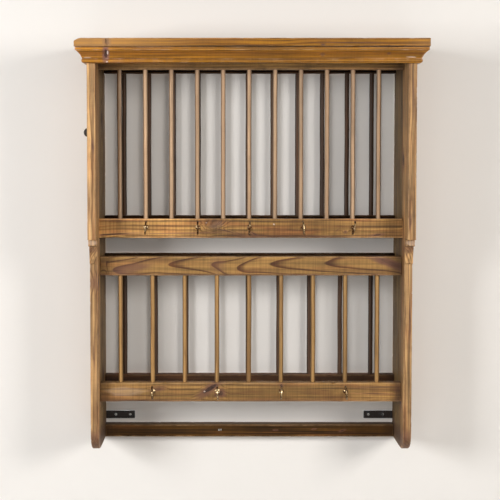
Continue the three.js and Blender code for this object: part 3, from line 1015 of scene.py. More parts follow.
def make_dowel_row():
    """Upright dowels in a row, each a little bowed and swollen in its own way."""
    w, given, give = new_tree("Dowel Row", "GeometryNodeTree", [
        ("Count", "Int", 9), ("First", "Vector", None), ("Pitch", "Float", 0.05), ("Height", "Float", 0.2),
        ("Diameter", "Float", 0.0095), ("Swell", "Float", 0.03), ("Bow", "Float", 0.0005),
        ("Sides", "Int", 16), ("Seed", "Int", 1), ("Material", "Material", None),
    ], [("Geometry", "Geometry")])
    lines, which, height = dowel_lines(w, given)
    chance = w.node("FunctionNodeRandomValue", {"ID": which, "Seed": given["Seed"]}, data_type="FLOAT")
    lines = w.out("GeometryNodeStoreNamedAttribute", {
        "Geometry": lines, "Name": "own_tone", "Value": chance.outputs[1]},
        data_type="FLOAT", domain="POINT")
    own = w.times_plus(which, DOWELS_APART, w.times(given["Seed"], SEEDS_APART))
    at = w.joined(X=own, Z=w.times(height, BOW_WAVES))
    drift = w.node("ShaderNodeTexNoise", {"Vector": at, "Scale": 1.0, "Detail": 0.0}).outputs[1]
    sway = w.vector("MULTIPLY", w.vector("SUBTRACT", drift, (0.5, 0.5, 0.5)), BOW_STRETCH)
    bow = w.out("ShaderNodeVectorMath", {0: sway, "Scale": given["Bow"]}, operation="SCALE")
    lines = w.out("GeometryNodeSetPosition", {"Geometry": lines, "Offset": bow})
    ripple = w.times_plus(w.noise(at, RIPPLE, 1.0), 2, -1)
    ring = w.out("GeometryNodeCurvePrimitiveCircle", {
        "Resolution": given["Sides"], "Radius": w.times(given["Diameter"], 0.5)})
    rods = w.out("GeometryNodeCurveToMesh", {
        "Curve": lines, "Profile Curve": ring, "Scale": w.times_plus(ripple, given["Swell"], MEAN_GIRTH),
        "Fill Caps": True})
    rods = w.out("GeometryNodeRealizeInstances", {"Geometry": rods})
    give(Geometry=w.out("GeometryNodeSetMaterial", {"Geometry": rods, "Material": given["Material"]}))


def make_fastenings():
    """One small piece set on every point, turned to face the way that the point says."""
    w, given, give = new_tree("Fastenings", "GeometryNodeTree", [
        ("Points", "Geometry", None), ("Piece", "Object", None), ("Size", "Float", 1.0),
        ("Material", "Material", None),
    ], [("Geometry", "Geometry")])
    facing = w.out("GeometryNodeInputNamedAttribute", {"Name": "facing"}, data_type="FLOAT_VECTOR")
    turn = w.out("GeometryNodeInputNamedAttribute", {"Name": "turn"}, data_type="FLOAT")
    aim = w.out("FunctionNodeAlignRotationToVector", {"Vector": facing}, axis="Z")
    roll = w.out("FunctionNodeAxisAngleToRotation", {"Axis": (0, 0, 1), "Angle": turn})
    aim = w.out("FunctionNodeRotateRotation", {"Rotation": aim, "Rotate By": roll}, rotation_space="LOCAL")
    piece = w.node("GeometryNodeObjectInfo", {"Object": given["Piece"]}).outputs["Geometry"]
    spread = w.out("GeometryNodeInstanceOnPoints", {
        "Points": given["Points"], "Instance": piece, "Rotation": aim, "Scale": given["Size"]})
    solid = w.out("GeometryNodeRealizeInstances", {"Geometry": spread})
    give(Geometry=w.out("GeometryNodeSetMaterial", {"Geometry": solid, "Material": given["Material"]}))


def grown(name, tree, values, points=(), facing=None, turns=None):
    """A plain mesh object made once by a Geometry Nodes tree, on points that all face the same way."""
    seed = bpy.data.meshes.new(name + "_points")
    seed.from_pydata(points, [], [])
    if points:
        facings = seed.attributes.new("facing", "FLOAT_VECTOR", "POINT")
        facings.data.foreach_set("vector", [*facing] * len(points))
        own = seed.attributes.new("turn", "FLOAT", "POINT")
        own.data.foreach_set("value", turns or [0.0] * len(points))
    piece = add_object(name, seed)
    modifier = piece.modifiers.new(tree, "NODES")
    modifier.node_group = bpy.data.node_groups[tree]
    for item in modifier.node_group.interface.items_tree:
        if item.in_out == "INPUT" and item.name in values:
            modifier[item.identifier] = values[item.name]
    baked(piece)
    if not piece.data.polygons:
        raise RuntimeError(f"{name} came out empty")
    return piece


def fastened(name, pattern, material, points, facing, turns=None, size=1.0):
    """Copies of one small piece, set on points."""
    values = {"Piece": pattern, "Size": size, "Material": material}
    return grown(name, "Fastenings", values, points, facing, turns)


# The rack's own shapes

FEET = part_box("left_side_board")[0].z
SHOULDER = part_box("upper_bottom_front_rail")[0].z
LOWER_DEPTH = 159 * MM
COVE_LIP = 5 * MM
COVE_SWEEP = 12.5 * MM
FILLET_STEP = 12 * MM
COVE_HEIGHT = 36 * MM
FILLET_HEIGHT = 13.5 * MM
TOE_SETBACK = 46 * MM
TOE_HEIGHT = 33 * MM
CURVE_TURNS = 8


def curved(start, pull, end):
    """Points of a smooth curve after its start, up to its end."""
    return [bend(start, pull, end, turn / CURVE_TURNS) for turn in range(1, CURVE_TURNS + 1)]


COVE_PULL = (0.25, 0.6)
BOARD_ROUNDING = 1.2 * MM


def side_outline():
    """A side board as depth from the wall and height: toe, narrow part, cove, fillet, wide part."""
    low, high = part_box("left_side_board")
    cove_top = SHOULDER - FILLET_HEIGHT
    cove_foot = cove_top - COVE_HEIGHT
    lip = Vector((LOWER_DEPTH + COVE_LIP, cove_foot))
    cove_end = Vector((lip.x + COVE_SWEEP, cove_top))
    pull = Vector((lip.x + COVE_PULL[0] * COVE_SWEEP, cove_foot + COVE_PULL[1] * COVE_HEIGHT))
    outline = [Vector((0, FEET))]
    for turn in range(CURVE_TURNS + 1):
        angle = math.pi / 2 * (turn / CURVE_TURNS - 1)
        outline.append(Vector((
            LOWER_DEPTH - TOE_SETBACK * (1 - math.cos(angle)), FEET + TOE_HEIGHT * (1 + math.sin(angle)))))
    outline += [Vector((LOWER_DEPTH, cove_foot)), lip, *curved(lip, pull, cove_end)]
    outline += [Vector((cove_end.x + FILLET_STEP, cove_top)), Vector((cove_end.x + FILLET_STEP, SHOULDER))]
    outline += [Vector((-low.y, SHOULDER)), Vector((-low.y, high.z)), Vector((0, high.z))]
    return softened(outline, BOARD_ROUNDING)


RADIUS_WAVES = 21
RADIUS_SPREAD = 0.45
SIDES_APART = 5
TOE_REACH = 60 * MM
TOE_START = 60 * MM
TOE_RAMP = 50 * MM


def uneven_radius(sizes, seed, toe=False):
    """A corner radius that varies along a board, and grows at the worn toes."""
    base = sizes.arris if toe else sizes.rail_arris

    def radius(a, b, side):
        at = Vector((a * RADIUS_WAVES, b * RADIUS_WAVES, seed + side * SIDES_APART))
        found = base * (1 + RADIUS_SPREAD * noise.noise(at))
        if toe:
            near_foot = max(0.0, 1 - (b - FEET) / TOE_REACH)
            found += (sizes.toe_arris - base) * near_foot * min(1, max(0, a - TOE_START) / TOE_RAMP)
        return found
    return radius


# Marks in the side boards: along them from their middle, then across their front edge or broad faces
SIDE_MARKS = {
    "left": (
        knot(262, 30, 15, 10, 8, lift=7, face="side"), knot(-60, -48, 9, 7, -12, lift=5, face="side"),
        knot(-262, 38, 12, 9, 5, lift=6, face="side"), knot(206, -3, 7, 1.5, 3, heart=0.5),
        knot(92, 4, 20, 1.2, -1, heart=0.4, halo=0.5), knot(-200, 2, 16, 1.4, 2, heart=0.45, halo=0.5),
        knot(-379, 0, 12, 12, heart=0.3, halo=0.75)),
    "right": (
        knot(180, -36, 12, 9, -6, lift=6, face="side"), knot(-20, 40, 10, 8, 14, lift=6, face="side"),
        knot(-300, -20, 11, 8, lift=5, face="side"), knot(296, -2, 22, 1.3, 2, heart=0.4, halo=0.5),
        knot(60, 3, 9, 1.6, -2, heart=0.5), knot(-140, -4, 24, 1.2, 1, heart=0.4, halo=0.5),
        knot(-379, 0, 12, 12, heart=0.3, halo=0.75)),
}
# The right board's lower tone is painted shade, as less light falls on it than on the left one
SIDE_TONES = {"left": 1.0, "right": 0.88}
SIDE_LOOK = dict(
    spacing=0.0036, wander=0.008, contrast=0.75, streak=0.45, patch=0.28, stain=0.6, scraped=0.02)
NOTCH_SLACK = 0.3 * MM
OVERRUN = 2 * MM
# Painted shade on the side boards' inner faces: where it lies through the board, in millimetres from its
# middle, and where it fades out towards the front edge, where light reaches
INNER_SKIN = (6.4, 7.8)
INNER_FADE = (1, -1, 14, 32)
STEP_REACH = dict(at=-77, through=20)
STEP_ACROSS = 12
STEP_SHADE = 7 * MM


def step_marks(middle):
    """Painted shadow lines in the three steps of a side board's front edge, painted shade on its cove and a
    pale painted highlight on its fillet.
    """
    def mark(drop, wide, **look):
        along = (SHOULDER - drop - middle) / MM
        return knot(along, 0, wide, STEP_ACROSS, **{"halo": 0, **look, **STEP_REACH})
    shade = mark(FILLET_HEIGHT + STEP_SHADE, 3.4, heart=0, halo=0.6)
    # The fillet's pale band is a painted highlight, drawn as a scar
    rubbed = mark(FILLET_HEIGHT / 2, 6, heart=0, scar=0.22)
    steps = (0, FILLET_HEIGHT, FILLET_HEIGHT + COVE_HEIGHT)
    return (shade, rubbed, *(mark(drop, 1.5, heart=0.75) for drop in steps))


class RACK_OT_side_boards(bpy.types.Operator):
    """Cut the two shaped side boards"""
    bl_idname = "rack.side_boards"
    bl_label = "Side boards"

    def execute(self, context):
        sizes, colours = context.scene.rack_sizes, context.scene.rack_colours
        for seed, side in enumerate(("left", "right"), 3):
            node = side + "_side_board"
            low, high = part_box(node)
            centre = (low + high) / 2
            outer = -1 if side == "left" else 1
            material = wood(
                side + "_side_wood", centre, "Z", "side", colours, seed=seed * 1.3,
                pith=(0, 0.03, 0.06 * outer), tone=SIDE_TONES[side],
                marks=SIDE_MARKS[side] + step_marks(centre.z),
                coats=(tinted(2, *INNER_SKIN, colours.inner_face_shade, outer, fade=INNER_FADE),), **SIDE_LOOK)
            piece = worn_board(
                side + "_shaped_side", side_outline(), high.x - low.x,
                lambda a, b, t, x=low.x: (x + t, -a, b), uneven_radius(sizes, seed, True), material,
                (sizes.outline_step, sizes.face_step))
            weather(piece, seed, sizes)
            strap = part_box(side + "_wall_strap")
            slack = Vector((NOTCH_SLACK, NOTCH_SLACK, NOTCH_SLACK))
            cut_box(piece, strap[0] - slack, Vector((strap[1].x, OVERRUN, strap[1].z)) + slack)
            settle(piece, "pine", node)
        return {"FINISHED"}


def box_outline(left, right, bottom, top, radius):
    corners = [Vector((left, bottom)), Vector((right, bottom)), Vector((right, top)), Vector((left, top))]
    return softened(corners, radius)


def upright(name, low, high, rounding, radius, material, steps, **more):
    """A board that fills a box and faces the room."""
    return worn_board(
        name, box_outline(low.x, high.x, low.z, high.z, rounding), high.y - low.y,
        lambda a, b, t: (a, low.y + t, b), radius, material, steps, **more)


WORN_END_REACH = 15 * MM
WORN_END_DEPTH = 90 * MM
WORN_END_DROP = 5.5 * MM
OPEN_JOINT = 2 * MM
OPEN_JOINT_WAVES = 60
OPEN_JOINT_SPREAD = 0.25
TOP_GAP = 0.3 * MM
TOP_CORNER = 3 * MM
TOP_FACE_STEP = 7 * MM
FRONT_EDGE = dict(at=-112, through=7)
# Painted shade and grime on the top board's underside and its lower edge over the open joint: where it
# comes in, in millimetres below the board's middle, how strong it is and how ragged
EDGE_SHADE_AND_GRIME = (5.8, 6.9)
EDGE_SHADE_AND_GRIME_SHARE = 0.85
EDGE_SHADE_AND_GRIME_RAGGED = 4.5
# How far the top board's two ends have faded, in millimetres from its middle, and how much
LEFT_FADED = (60, 300)
LEFT_FADED_SHARE = 0.5
RIGHT_FADED = (270, 335)
RIGHT_FADED_SHARE = 0.2
CORNICE_LOOK = dict(streak=0.34, coat=0.04)
TOP_LOOK = dict(
    seed=2.2, pith=(0, 0.02, -0.05), spacing=0.0028, wander=0.006, contrast=0.75, roughness=0.62, stain=0.3,
    tone=0.9, **CORNICE_LOOK)
TOP_MARKS = (
    knot(-275, 1, 4.2, 9, 6, heart=0.4, halo=1.0, **FRONT_EDGE),
    knot(-277, 2, 1.6, 6, 8, heart=0.8, halo=0, **FRONT_EDGE),
    knot(184, -1, 32, 0.6, heart=0.6, halo=0.5, **FRONT_EDGE),
    knot(134, -5, 2, 1.2, heart=0.35, lift=2, **FRONT_EDGE),
    knot(259, -7, 1.6, 1, heart=0.3, lift=1, **FRONT_EDGE))
# A small knock, and a chip at the left end that runs on into the moulding
TOP_DENTS = (dent((-276.4, -224, 27), (4.2, 5, 12), 3), dent((134, -224, 17), (9, 4, 2.5), 1.2))
CORNICE_DENTS = (dent((-277, -214, 4), (4.4, 18, 21), 2.8),)


class RACK_OT_top_board(bpy.types.Operator):
    """Lay the top board over the sides"""
    bl_idname = "rack.top_board"
    bl_label = "Top board"

    def execute(self, context):
        sizes, colours = context.scene.rack_sizes, context.scene.rack_colours
        low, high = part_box("top_board")
        centre = (low + high) / 2
        low.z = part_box("cornice_front")[1].z + TOP_GAP
        coats = (
            skin(2, *EDGE_SHADE_AND_GRIME, colours.grime, EDGE_SHADE_AND_GRIME_SHARE, -1, ragged=EDGE_SHADE_AND_GRIME_RAGGED),
            skin(0, *LEFT_FADED, colours.bleached, LEFT_FADED_SHARE, -1),
            skin(0, *RIGHT_FADED, colours.bleached, RIGHT_FADED_SHARE))
        material = wood(
            "top_board_wood", centre, "X", "cornice", colours, coats=coats, marks=TOP_MARKS, **TOP_LOOK)
        plain_radius = uneven_radius(sizes, 2)

        def radius(a, b, side):
            if side == 1:
                return plain_radius(a, b, side)
            at = Vector((a * OPEN_JOINT_WAVES, b * OPEN_JOINT_WAVES, 4))
            return OPEN_JOINT * (1 + OPEN_JOINT_SPREAD * noise.noise(at))

        def place(a, b, t):
            worn = max(0.0, 1 - (a - low.x) / WORN_END_REACH) ** 2
            worn *= max(0.0, 1 - (b - low.y) / WORN_END_DEPTH)
            return (a, b, low.z + t - WORN_END_DROP * worn * t / (high.z - low.z))

        piece = worn_board(
            "worn_top_board", box_outline(low.x, high.x, low.y, high.y, TOP_CORNER), high.z - low.z,
            place, radius, material, (sizes.outline_step, TOP_FACE_STEP))
        weather(piece, 2, sizes, TOP_DENTS)
        settle(piece, "cornice_pine", "top_board")
        return {"FINISHED"}


MOULDING_FILLET = 5.8 * MM
BEAD_RADIUS = 4.9 * MM
BEAD_CENTRE = 4 * MM
BEAD_SWEEP = 0.75
MOULDING_PULL = (0.24, 0.37)


def moulding_section(projection, height):
    """The cornice as projection and height below its top: bead, neck, cove and fillet."""
    bead = Vector((BEAD_CENTRE, BEAD_RADIUS - height))
    section = [Vector((0, -height))]
    for turn in range(CURVE_TURNS + 1):
        angle = math.pi * (BEAD_SWEEP * turn / CURVE_TURNS - 0.5)
        section.append(bead + BEAD_RADIUS * Vector((math.cos(angle), math.sin(angle))))
    neck, lip = section[-1], Vector((projection, -MOULDING_FILLET))
    out, up = MOULDING_PULL
    pull = Vector((neck.x + out * (lip.x - neck.x), lip.y + up * (neck.y - lip.y)))
    return section + curved(neck, pull, lip) + [Vector((projection, 0)), Vector((0, 0))]


COVE_TINT = (0.72, 0.64, 0.48)
# Painted shade on the cove, which the second tint lifts again higher up, and a painted shadow line over the
# bead, on every length
CORNICE_SHADE = (
    tinted(2, 0.5, 2.5, COVE_TINT, ragged=2), tinted(2, 5.5, 7, tuple(1 / x for x in COVE_TINT), ragged=2))
CORNICE_SHADOW = (crack(0, -6.8, 380, 0.8, 0, 0.5),)
FADED_ENDS = (tinted(0, 80, 260, (1.22, 1.22, 1.8), -1), tinted(0, 140, 260, (1.1, 1.12, 1.5)))
CORNICE_MARKS = (
    knot(-278, 2, 3.2, 9, -5, heart=0.85, halo=0.9), knock(-274.5, 4.5, 1.7, 3.4, 1.0),
    knock(-276.5, -12.5, 1.8, 1.6, 0.8), knot(134, 1, 2.2, 1.6, heart=0.25, lift=2),
    # The long pale streaks at 303 and -313, near the ends of the cove, are painted highlights
    knock(303, -3.6, 10, 0.9, 0.8), knock(-313, -4.5, 7, 1.6, 0.3),
    knot(260, 3, 1.8, 1.3, heart=0.25, lift=1), crack(240, -11.5, 95, 3.2, 0, 0.28),
    knot(70, -8, 30, 0.7, heart=0.25, halo=0.3), knot(200, -4, 46, 0.6, heart=0.2, halo=0.3))
CORNICE_TONES = {"front": 0.94, "left": 1.14, "right": 1.04}
CORNICE_NODES = {"front": "cornice_front", "left": "cornice_left_return", "right": "cornice_right_return"}
CORNICE_STEPS = (1.3 * MM, 4 * MM)
# The moulding's strongly rubbed arrises are partly wear and partly a painted highlight along the bead and
# fillet
MOULDING_LOOK = dict(
    pith=(0, 0.05, 0.12), spacing=0.0024, wander=0.003, contrast=0.7, roughness=0.4, stain=0.2, rubbed=0.85,
    **CORNICE_LOOK)


class RACK_OT_cornice(bpy.types.Operator):
    """Run the cornice moulding round the front and both ends"""
    bl_idname = "rack.cornice"
    bl_label = "Cornice"

    def execute(self, context):
        sizes, colours = context.scene.rack_sizes, context.scene.rack_colours
        low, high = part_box("cornice_front")
        projection = high.y - low.y
        inner = high.x - projection
        section = moulding_section(projection, high.z - low.z)
        mitred = ((-inner, -1), (inner, 1))
        returned = ((0, 0), (high.y, -1))
        runs = {
            "front": ("X", mitred, lambda s, out, up: (s, high.y - out, high.z + up)),
            "left": ("Y", returned, lambda s, out, up: (-inner - out, s, high.z + up)),
            "right": ("Y", returned, lambda s, out, up: (inner + out, s, high.z + up)),
        }
        for seed, (name, (grain, ends, place)) in enumerate(runs.items(), 5):
            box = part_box(CORNICE_NODES[name])
            front = name == "front"
            material = wood(
                f"cornice_{name}_wood", (box[0] + box[1]) / 2, grain, "cornice", colours,
                seed=seed * 0.9, tone=CORNICE_TONES[name],
                coats=CORNICE_SHADE + (FADED_ENDS if front else ()),
                marks=CORNICE_SHADOW + (CORNICE_MARKS if front else ()), **MOULDING_LOOK)
            piece = swept(f"cornice_moulding_{name}", section, ends, place, material, CORNICE_STEPS)
            weather(piece, seed, sizes, CORNICE_DENTS if front else ())
            settle(piece, "cornice_pine", CORNICE_NODES[name])
        return {"FINISHED"}


# Where the flames' tips stand, how far they reach either way, how much they sway and where the face is
FLAMES = (
    ((-290, 8), (-278, -8), (-176, 2), (-86, 4), (-36, -4), (23, 3), (127, 6), (243, 8)), 0.3, 0.05, 0.0105)
# How each rail's wood is cut and marked: knots in millimetres from the rail's middle
RAIL_LOOKS = {
    "upper_top_front_rail": dict(
        seed=1.1, pith=(0, 0.06, 0.08), streak=0.4, patch=0.3, grime=0.5, tone=0.9, marks=(
            knot(-163, 2, 3, 2.4, lift=3), knot(150, 0, 3, 2, lift=3))),
    "upper_top_back_rail": dict(seed=1.9, pith=(0, 0.03, 0.09), tone=1.6, shine=0.02),
    "upper_bottom_front_rail": dict(
        seed=2.7, pith=(0, 0.1, -0.03), spacing=0.0028, wander=0.0032, contrast=0.6, streak=0.4, stain=0.65,
        scraped=0.17, own_ends=0.1, tone=0.86, marks=(
            knot(-74, 6, 11, 5.5, 20, heart=0.0, halo=0.2, lift=9),
            knot(-68, 6, 16, 7, 22, heart=0, halo=0, scar=0.05), knock(-88, 11, 2, 1.2, 0.35),
            crack(-66, 9, 8, 0.7, 50, 0.6, 1), crack(-83, 1, 6, 0.7, -35, 0.6),
            crack(-76, 12, 5, 0.7, 95, 0.5), crack(-54, 10, 8, 0.8, 42, 0.55),
            crack(-62, 2, 8, 0.7, 12, 0.6), knot(-50, -5, 20, 1.2, -13, heart=0.6, halo=0.4, lift=3),
            knot(6.7, -11, 7, 1.2, -25, heart=0.7), knot(-272, -11.5, 30, 1.2, 3, heart=0.95, halo=0.6),
            knot(-105, -9, 62, 0.7, 1, heart=0.3, halo=0.6),
            knot(82, -15.6, 58, 1.0, heart=0.85, halo=0.5), knot(186, -7, 2.2, 1.6, heart=0.5, lift=2),
            knot(170, -3.5, 3, 0.8, 40, heart=0.35, halo=0.3), knot(249, -13, 8, 1.6, 8, heart=0.8),
            knock(45, 8, 2.2, 1.8, 0.6))),
    "upper_bottom_back_rail": dict(seed=3.4, pith=(0, 0.02, 0.1), tone=1.6, shine=0.02),
    "lower_top_front_rail": dict(
        seed=4.2, pith=(0, 0.03, 0), spacing=0.0038, wander=0.0011, uneven=0.0, early=0.6, contrast=1.0,
        streak=0.32, stain=0.4, scraped=0.1, tone=0.87, flames=FLAMES, marks=(
            knot(-238, -5, 20, 4.6, 9, heart=0.0, halo=0.75), knot(-66, 2, 8, 9, heart=0.0, halo=0.4),
            knot(278, 5, 26, 4.5, -20, heart=0.3, halo=1.0),
            knot(-40, -17, 210, 0.9, heart=0.7, halo=0.4))),
    "lower_top_back_rail": dict(seed=5.3, pith=(0, 0.04, 0.1), tone=1.6, shine=0.02),
    "lower_bottom_front_rail": dict(
        seed=6.1, pith=(0, 0.09, 0.05), spacing=0.0034, wander=0.004, contrast=0.5, streak=0.34, stain=0.45,
        scraped=0.12, tone=0.84, marks=(
            knot(-81, 7, 16, 4.6, 37, heart=1.0, halo=0.9, lift=6),
            knot(-61, -2, 6, 5, heart=0.6, halo=0.9, lift=4), knock(-92, 1.5, 1.8, 1.4, 1.0),
            knot(-186, 6, 9, 3, 8, heart=0.3, lift=3), knot(61, 13, 2, 3.5, heart=0.8),
            knot(256, 10.2, 24, 0.7, 1, heart=0.9, halo=0.4),
            knot(250, -3, 28, 0.8, -1, heart=0.9, halo=0.4), knot(293, -2, 4, 15, heart=0.3, halo=0.45),
            knot(-230, -17, 70, 1.2, heart=0.75, halo=0.5), knot(60, -16, 60, 0.8, heart=0.5, halo=0.4),
            knock(-250, 1, 42, 9, 0.12))),
    "lower_back_glued_grid": dict(
        seed=7.2, pith=(0, 0.05, 0.09), tone=3.6, patch=0.08, stain=0.15, shine=0.12),
    "foot_back_rail": dict(
        seed=8.5, pith=(0, 0.03, 0.1), spacing=0.0028, contrast=0.95, streak=0.5, stain=0.2, shine=0.12,
        marks=(
            knot(193, 0, 4, 1.4, 20, heart=0.7), knot(54, 1, 3, 1, heart=0.6),
            knot(134, 3, 3, 1, 10, heart=0.5))),
}
RAIL_DENTS = {
    "lower_bottom_front_rail": (
        dent((163.6, -131, -639), (6, 5, 5), 1.8), dent((-230, -131, -677), (40, 4, 4), 1.2)),
    "upper_bottom_front_rail": (
        dent((-270, -142, -348), (34, 6, 5), 2.2), dent((70, -142, -349), (58, 5, 4), 1.2)),
}


DUST_SKIN = (9.8, 11.6)
DUST_SHARE = 0.6
# Painted shade on the back rails' front faces, which stand in deep shadow: how far it reaches in from the
# face, in millimetres, and the tint it multiplies them by
FRONT_SHADE_DEPTH = 3
FRONT_SHADE = 0.19
GRID_FRONT_SHADE = 0.44
# Where a rail is paler or darker along its length, in millimetres from its middle
RAIL_TINTS = {
    "upper_bottom_front_rail": (
        # The pale left part of this rail is painted light, lifting the shade of the left side board
        tinted(0, 60, 150, (1.9, 1.9, 1.9), -1), tinted(0, -5, 25, (0.87, 0.83, 0.77)),
        tinted(0, 165, 200, (1.4, 1.45, 1.6))),
    "lower_bottom_front_rail": (tinted(0, 165, 210, (1.22, 1.22, 1.26)),),
}
RAIL_ROUNDING = 0.6 * MM
RAIL_FACE_STEP = 4.5 * MM


def rail_box(node):
    """A rail's body from side board to side board, without its tenons or the back grid's dowels."""
    low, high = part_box(node)
    low.x, high.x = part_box("left_side_board")[1].x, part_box("right_side_board")[0].x
    if node == "lower_back_glued_grid":
        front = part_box("lower_bottom_front_rail")
        high.z = low.z + front[1].z - front[0].z
    return low, high


class RACK_OT_rails(bpy.types.Operator):
    """Set the rails between the side boards"""
    bl_idname = "rack.rails"
    bl_label = "Rails"

    def execute(self, context):
        sizes, colours = context.scene.rack_sizes, context.scene.rack_colours
        for seed, (node, look) in enumerate(RAIL_LOOKS.items(), 11):
            low, high = rail_box(node)
            foot = node == "foot_back_rail"
            paints = "foot" if foot else "back" if "back" in node else "pine"
            coats = RAIL_TINTS.get(node, ())
            if foot:
                coats += (skin(2, *DUST_SKIN, colours.dust, DUST_SHARE, ragged=1),)
            elif paints == "back":
                front = (high.y - low.y) / 2 / MM
                front_shade = GRID_FRONT_SHADE if node == "lower_back_glued_grid" else FRONT_SHADE
                coats += (tinted(1, front - FRONT_SHADE_DEPTH, front, (front_shade, front_shade, front_shade), -1),)
            material = wood(
                node + "_wood", (low + high) / 2, "X", paints, colours, ends=high.x, coats=coats, **look)
            piece = upright(
                "worn_" + node, low, high, RAIL_ROUNDING, uneven_radius(sizes, seed), material,
                (sizes.outline_step, RAIL_FACE_STEP), straight=6)
            weather(piece, seed, sizes, RAIL_DENTS.get(node, ()))
            settle(piece, "dark_pine" if foot else "pine", node)
        return {"FINISHED"}


DOWEL_SINK = 3 * MM
# For each row: the rails below and above, how many dowels, the seed, the colours, how strong the
# painted shade on the dowels' flanks and painted highlight on their fronts are, and how bright they are
DOWEL_ROWS = {
    "upper_front": ("upper_bottom_front_rail", "upper_top_front_rail", 11, 325, "dowel", 0.6, 0.9),
    "upper_back": ("upper_bottom_back_rail", "upper_top_back_rail", 11, 22, "back_dowel", 0.3, 0.9),
    "lower_front": ("lower_bottom_front_rail", "lower_top_front_rail", 9, 345, "low_dowel", 0.6, 1.02),
    "lower_back": ("lower_back_glued_grid", "lower_top_back_rail", 9, 24, "back_dowel", 0.3, 0.9),
}
# Turned wood, striped along the dowels, each with its own tone
DOWEL_LOOK = dict(
    pith=(0, 0.4, -0.07), spacing=0.0034, wander=0.002, contrast=0.45, streak=0.2, patch=0.08, stain=0.12,
    scraped=0.02, rubbed=0.0, grime=0.1, own_tone=0.2, roughness=0.5, bump=0.25)
DOWEL_CENTRE = (0, 0, -0.4)


def dowel_line(row, below, above, count):
    """Where a row's first dowel starts, how far its last one stands from it, and the dowels' height."""
    front = row.replace("back", "front")
    places = [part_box(f"{front}_dowel_{i:02d}") for i in (1, count)]
    first, last = [(low.x + high.x) / 2 for low, high in places]
    bottom, top = rail_box(below), rail_box(above)
    start = Vector((first, (bottom[0].y + bottom[1].y) / 2, bottom[1].z - DOWEL_SINK))
    return start, last - first, top[0].z + DOWEL_SINK - start.z


class RACK_OT_dowels(bpy.types.Operator):
    """Stand the four rows of dowels between their rails"""
    bl_idname = "rack.dowels"
    bl_label = "Dowels"

    def execute(self, context):
        sizes, colours = context.scene.rack_sizes, context.scene.rack_colours
        for number, (row, values) in enumerate(DOWEL_ROWS.items(), 21):
            below, above, count, seed, paints, turned, tone = values
            start, run, height = dowel_line(row, below, above, count)
            material = wood(
                row + "_dowel_wood", DOWEL_CENTRE, "Z", paints, colours, seed=number * 0.7,
                turned=turned, tone=tone, **DOWEL_LOOK)
            piece = grown("turned_dowels_" + row, "Dowel Row", {
                "Count": count, "First": start, "Pitch": run / (count - 1), "Height": height,
                "Diameter": sizes.dowel, "Swell": sizes.dowel_swell, "Bow": sizes.dowel_bow,
                "Sides": sizes.dowel_sides, "Seed": seed, "Material": material})
            smoothed(piece.data)
            nodes = [f"{row}_dowel_{i + 1:02d}" for i in range(count)]
            settle(piece, "dowel_wood", *(nodes if row != "lower_back" else ()))
        return {"FINISHED"}


HOOK_SHANK = 6 * MM
HOOK_SEAT = 1 * MM
HOOK_BEND = 2.2 * MM
HOOK_BEND_TURNS = 5
HOOK_NECK = 4.6 * MM
HOOK_ARC = (math.pi + 0.25, math.tau + math.radians(105))
HOOK_ARC_TURNS = 40
HOOK_SIDES = 14
HOOK_BALL = 2.0 * MM
BALL_POINTS = 8
BALL_STEPS = (0.35, 0.65, 0.85, 0.97)
COLLAR_RADIUS = 4.75 * MM
COLLAR_HEIGHT = 2 * MM
COLLAR_SIDES = 28
COLLAR_PROFILE = (
    (0.6, -0.5), (1, -0.5), (1, 0.1), (0.97, 0.22), (0.86, 0.32), (0.72, 0.34), (0.66, 0.4), (0.6, 0.55),
    (0.5, 0.66), (0.42, 0.8), (0.34, 0.88))
# How bright the brass is: the wire, how much more at the front of the bowl as a painted highlight, and the
# collar
WIRE_RUBBED = 0.62
FRONT_HIGHLIGHT = 0.4
COLLAR_RUBBED = 0.71
BRASS_LOOK = dict(shine=0.12, roughness=0.2)
# How far each hook is turned, in degrees
HOOK_TURNS = {"upper": (5, 0, 2, -4, 11), "lower": (-2, -3, 4, -6)}
HOOK_RISE = 2 * MM
TO_ROOM = (0, -1, 0)


def hook_path(wire, bowl, centre):
    """The middle of a cup hook's wire, from its shank to its ball, and the wire's radius there."""
    def on_bowl(angle):
        return Vector((0, bowl * math.sin(angle), centre + bowl * math.cos(angle)))
    start, end = HOOK_ARC
    path = [Vector((0, 0, height)) for height in (-HOOK_SHANK, HOOK_SEAT, HOOK_NECK - HOOK_BEND)]
    neck, pull = path[-1], Vector((0, 0, HOOK_NECK))
    path += [bend(neck, pull, on_bowl(start), turn / HOOK_BEND_TURNS) for turn in range(1, HOOK_BEND_TURNS)]
    path += [on_bowl(start + (end - start) * turn / HOOK_ARC_TURNS) for turn in range(HOOK_ARC_TURNS + 1)]
    radii = [wire] * len(path)
    last = path[-1]
    for i in range(len(path) - BALL_POINTS + 1, len(path)):
        away = (path[i] - last).length
        if away < HOOK_BALL:
            radii[i] = max(wire, math.sqrt(HOOK_BALL ** 2 - away ** 2))
    tangent = (path[-1] - path[-2]).normalized()
    path += [last + tangent * HOOK_BALL * share for share in BALL_STEPS]
    radii += [HOOK_BALL * math.sqrt(1 - share * share) for share in BALL_STEPS]
    return path, radii


def hook_shape(sizes):
    """A cup hook whose screw points into the wood, along -Z, and whose bowl hangs towards -Y."""
    wire, bowl = sizes.hook_wire / 2, sizes.hook_bowl
    centre = HOOK_NECK + bowl
    points, faces = tube(*hook_path(wire, bowl, centre), HOOK_SIDES)
    collar, rings = lathe(
        [(r * COLLAR_RADIUS, h * COLLAR_HEIGHT + HOOK_SEAT) for r, h in COLLAR_PROFILE], COLLAR_SIDES)
    faces += [tuple(i + len(points) for i in face) for face in rings]
    fronts = [max(0.0, (p[2] - centre) / bowl - 0.5) for p in points]
    rubbed = [WIRE_RUBBED + FRONT_HIGHLIGHT * front for front in fronts]
    return points + collar, faces, rubbed + [COLLAR_RUBBED] * len(collar)


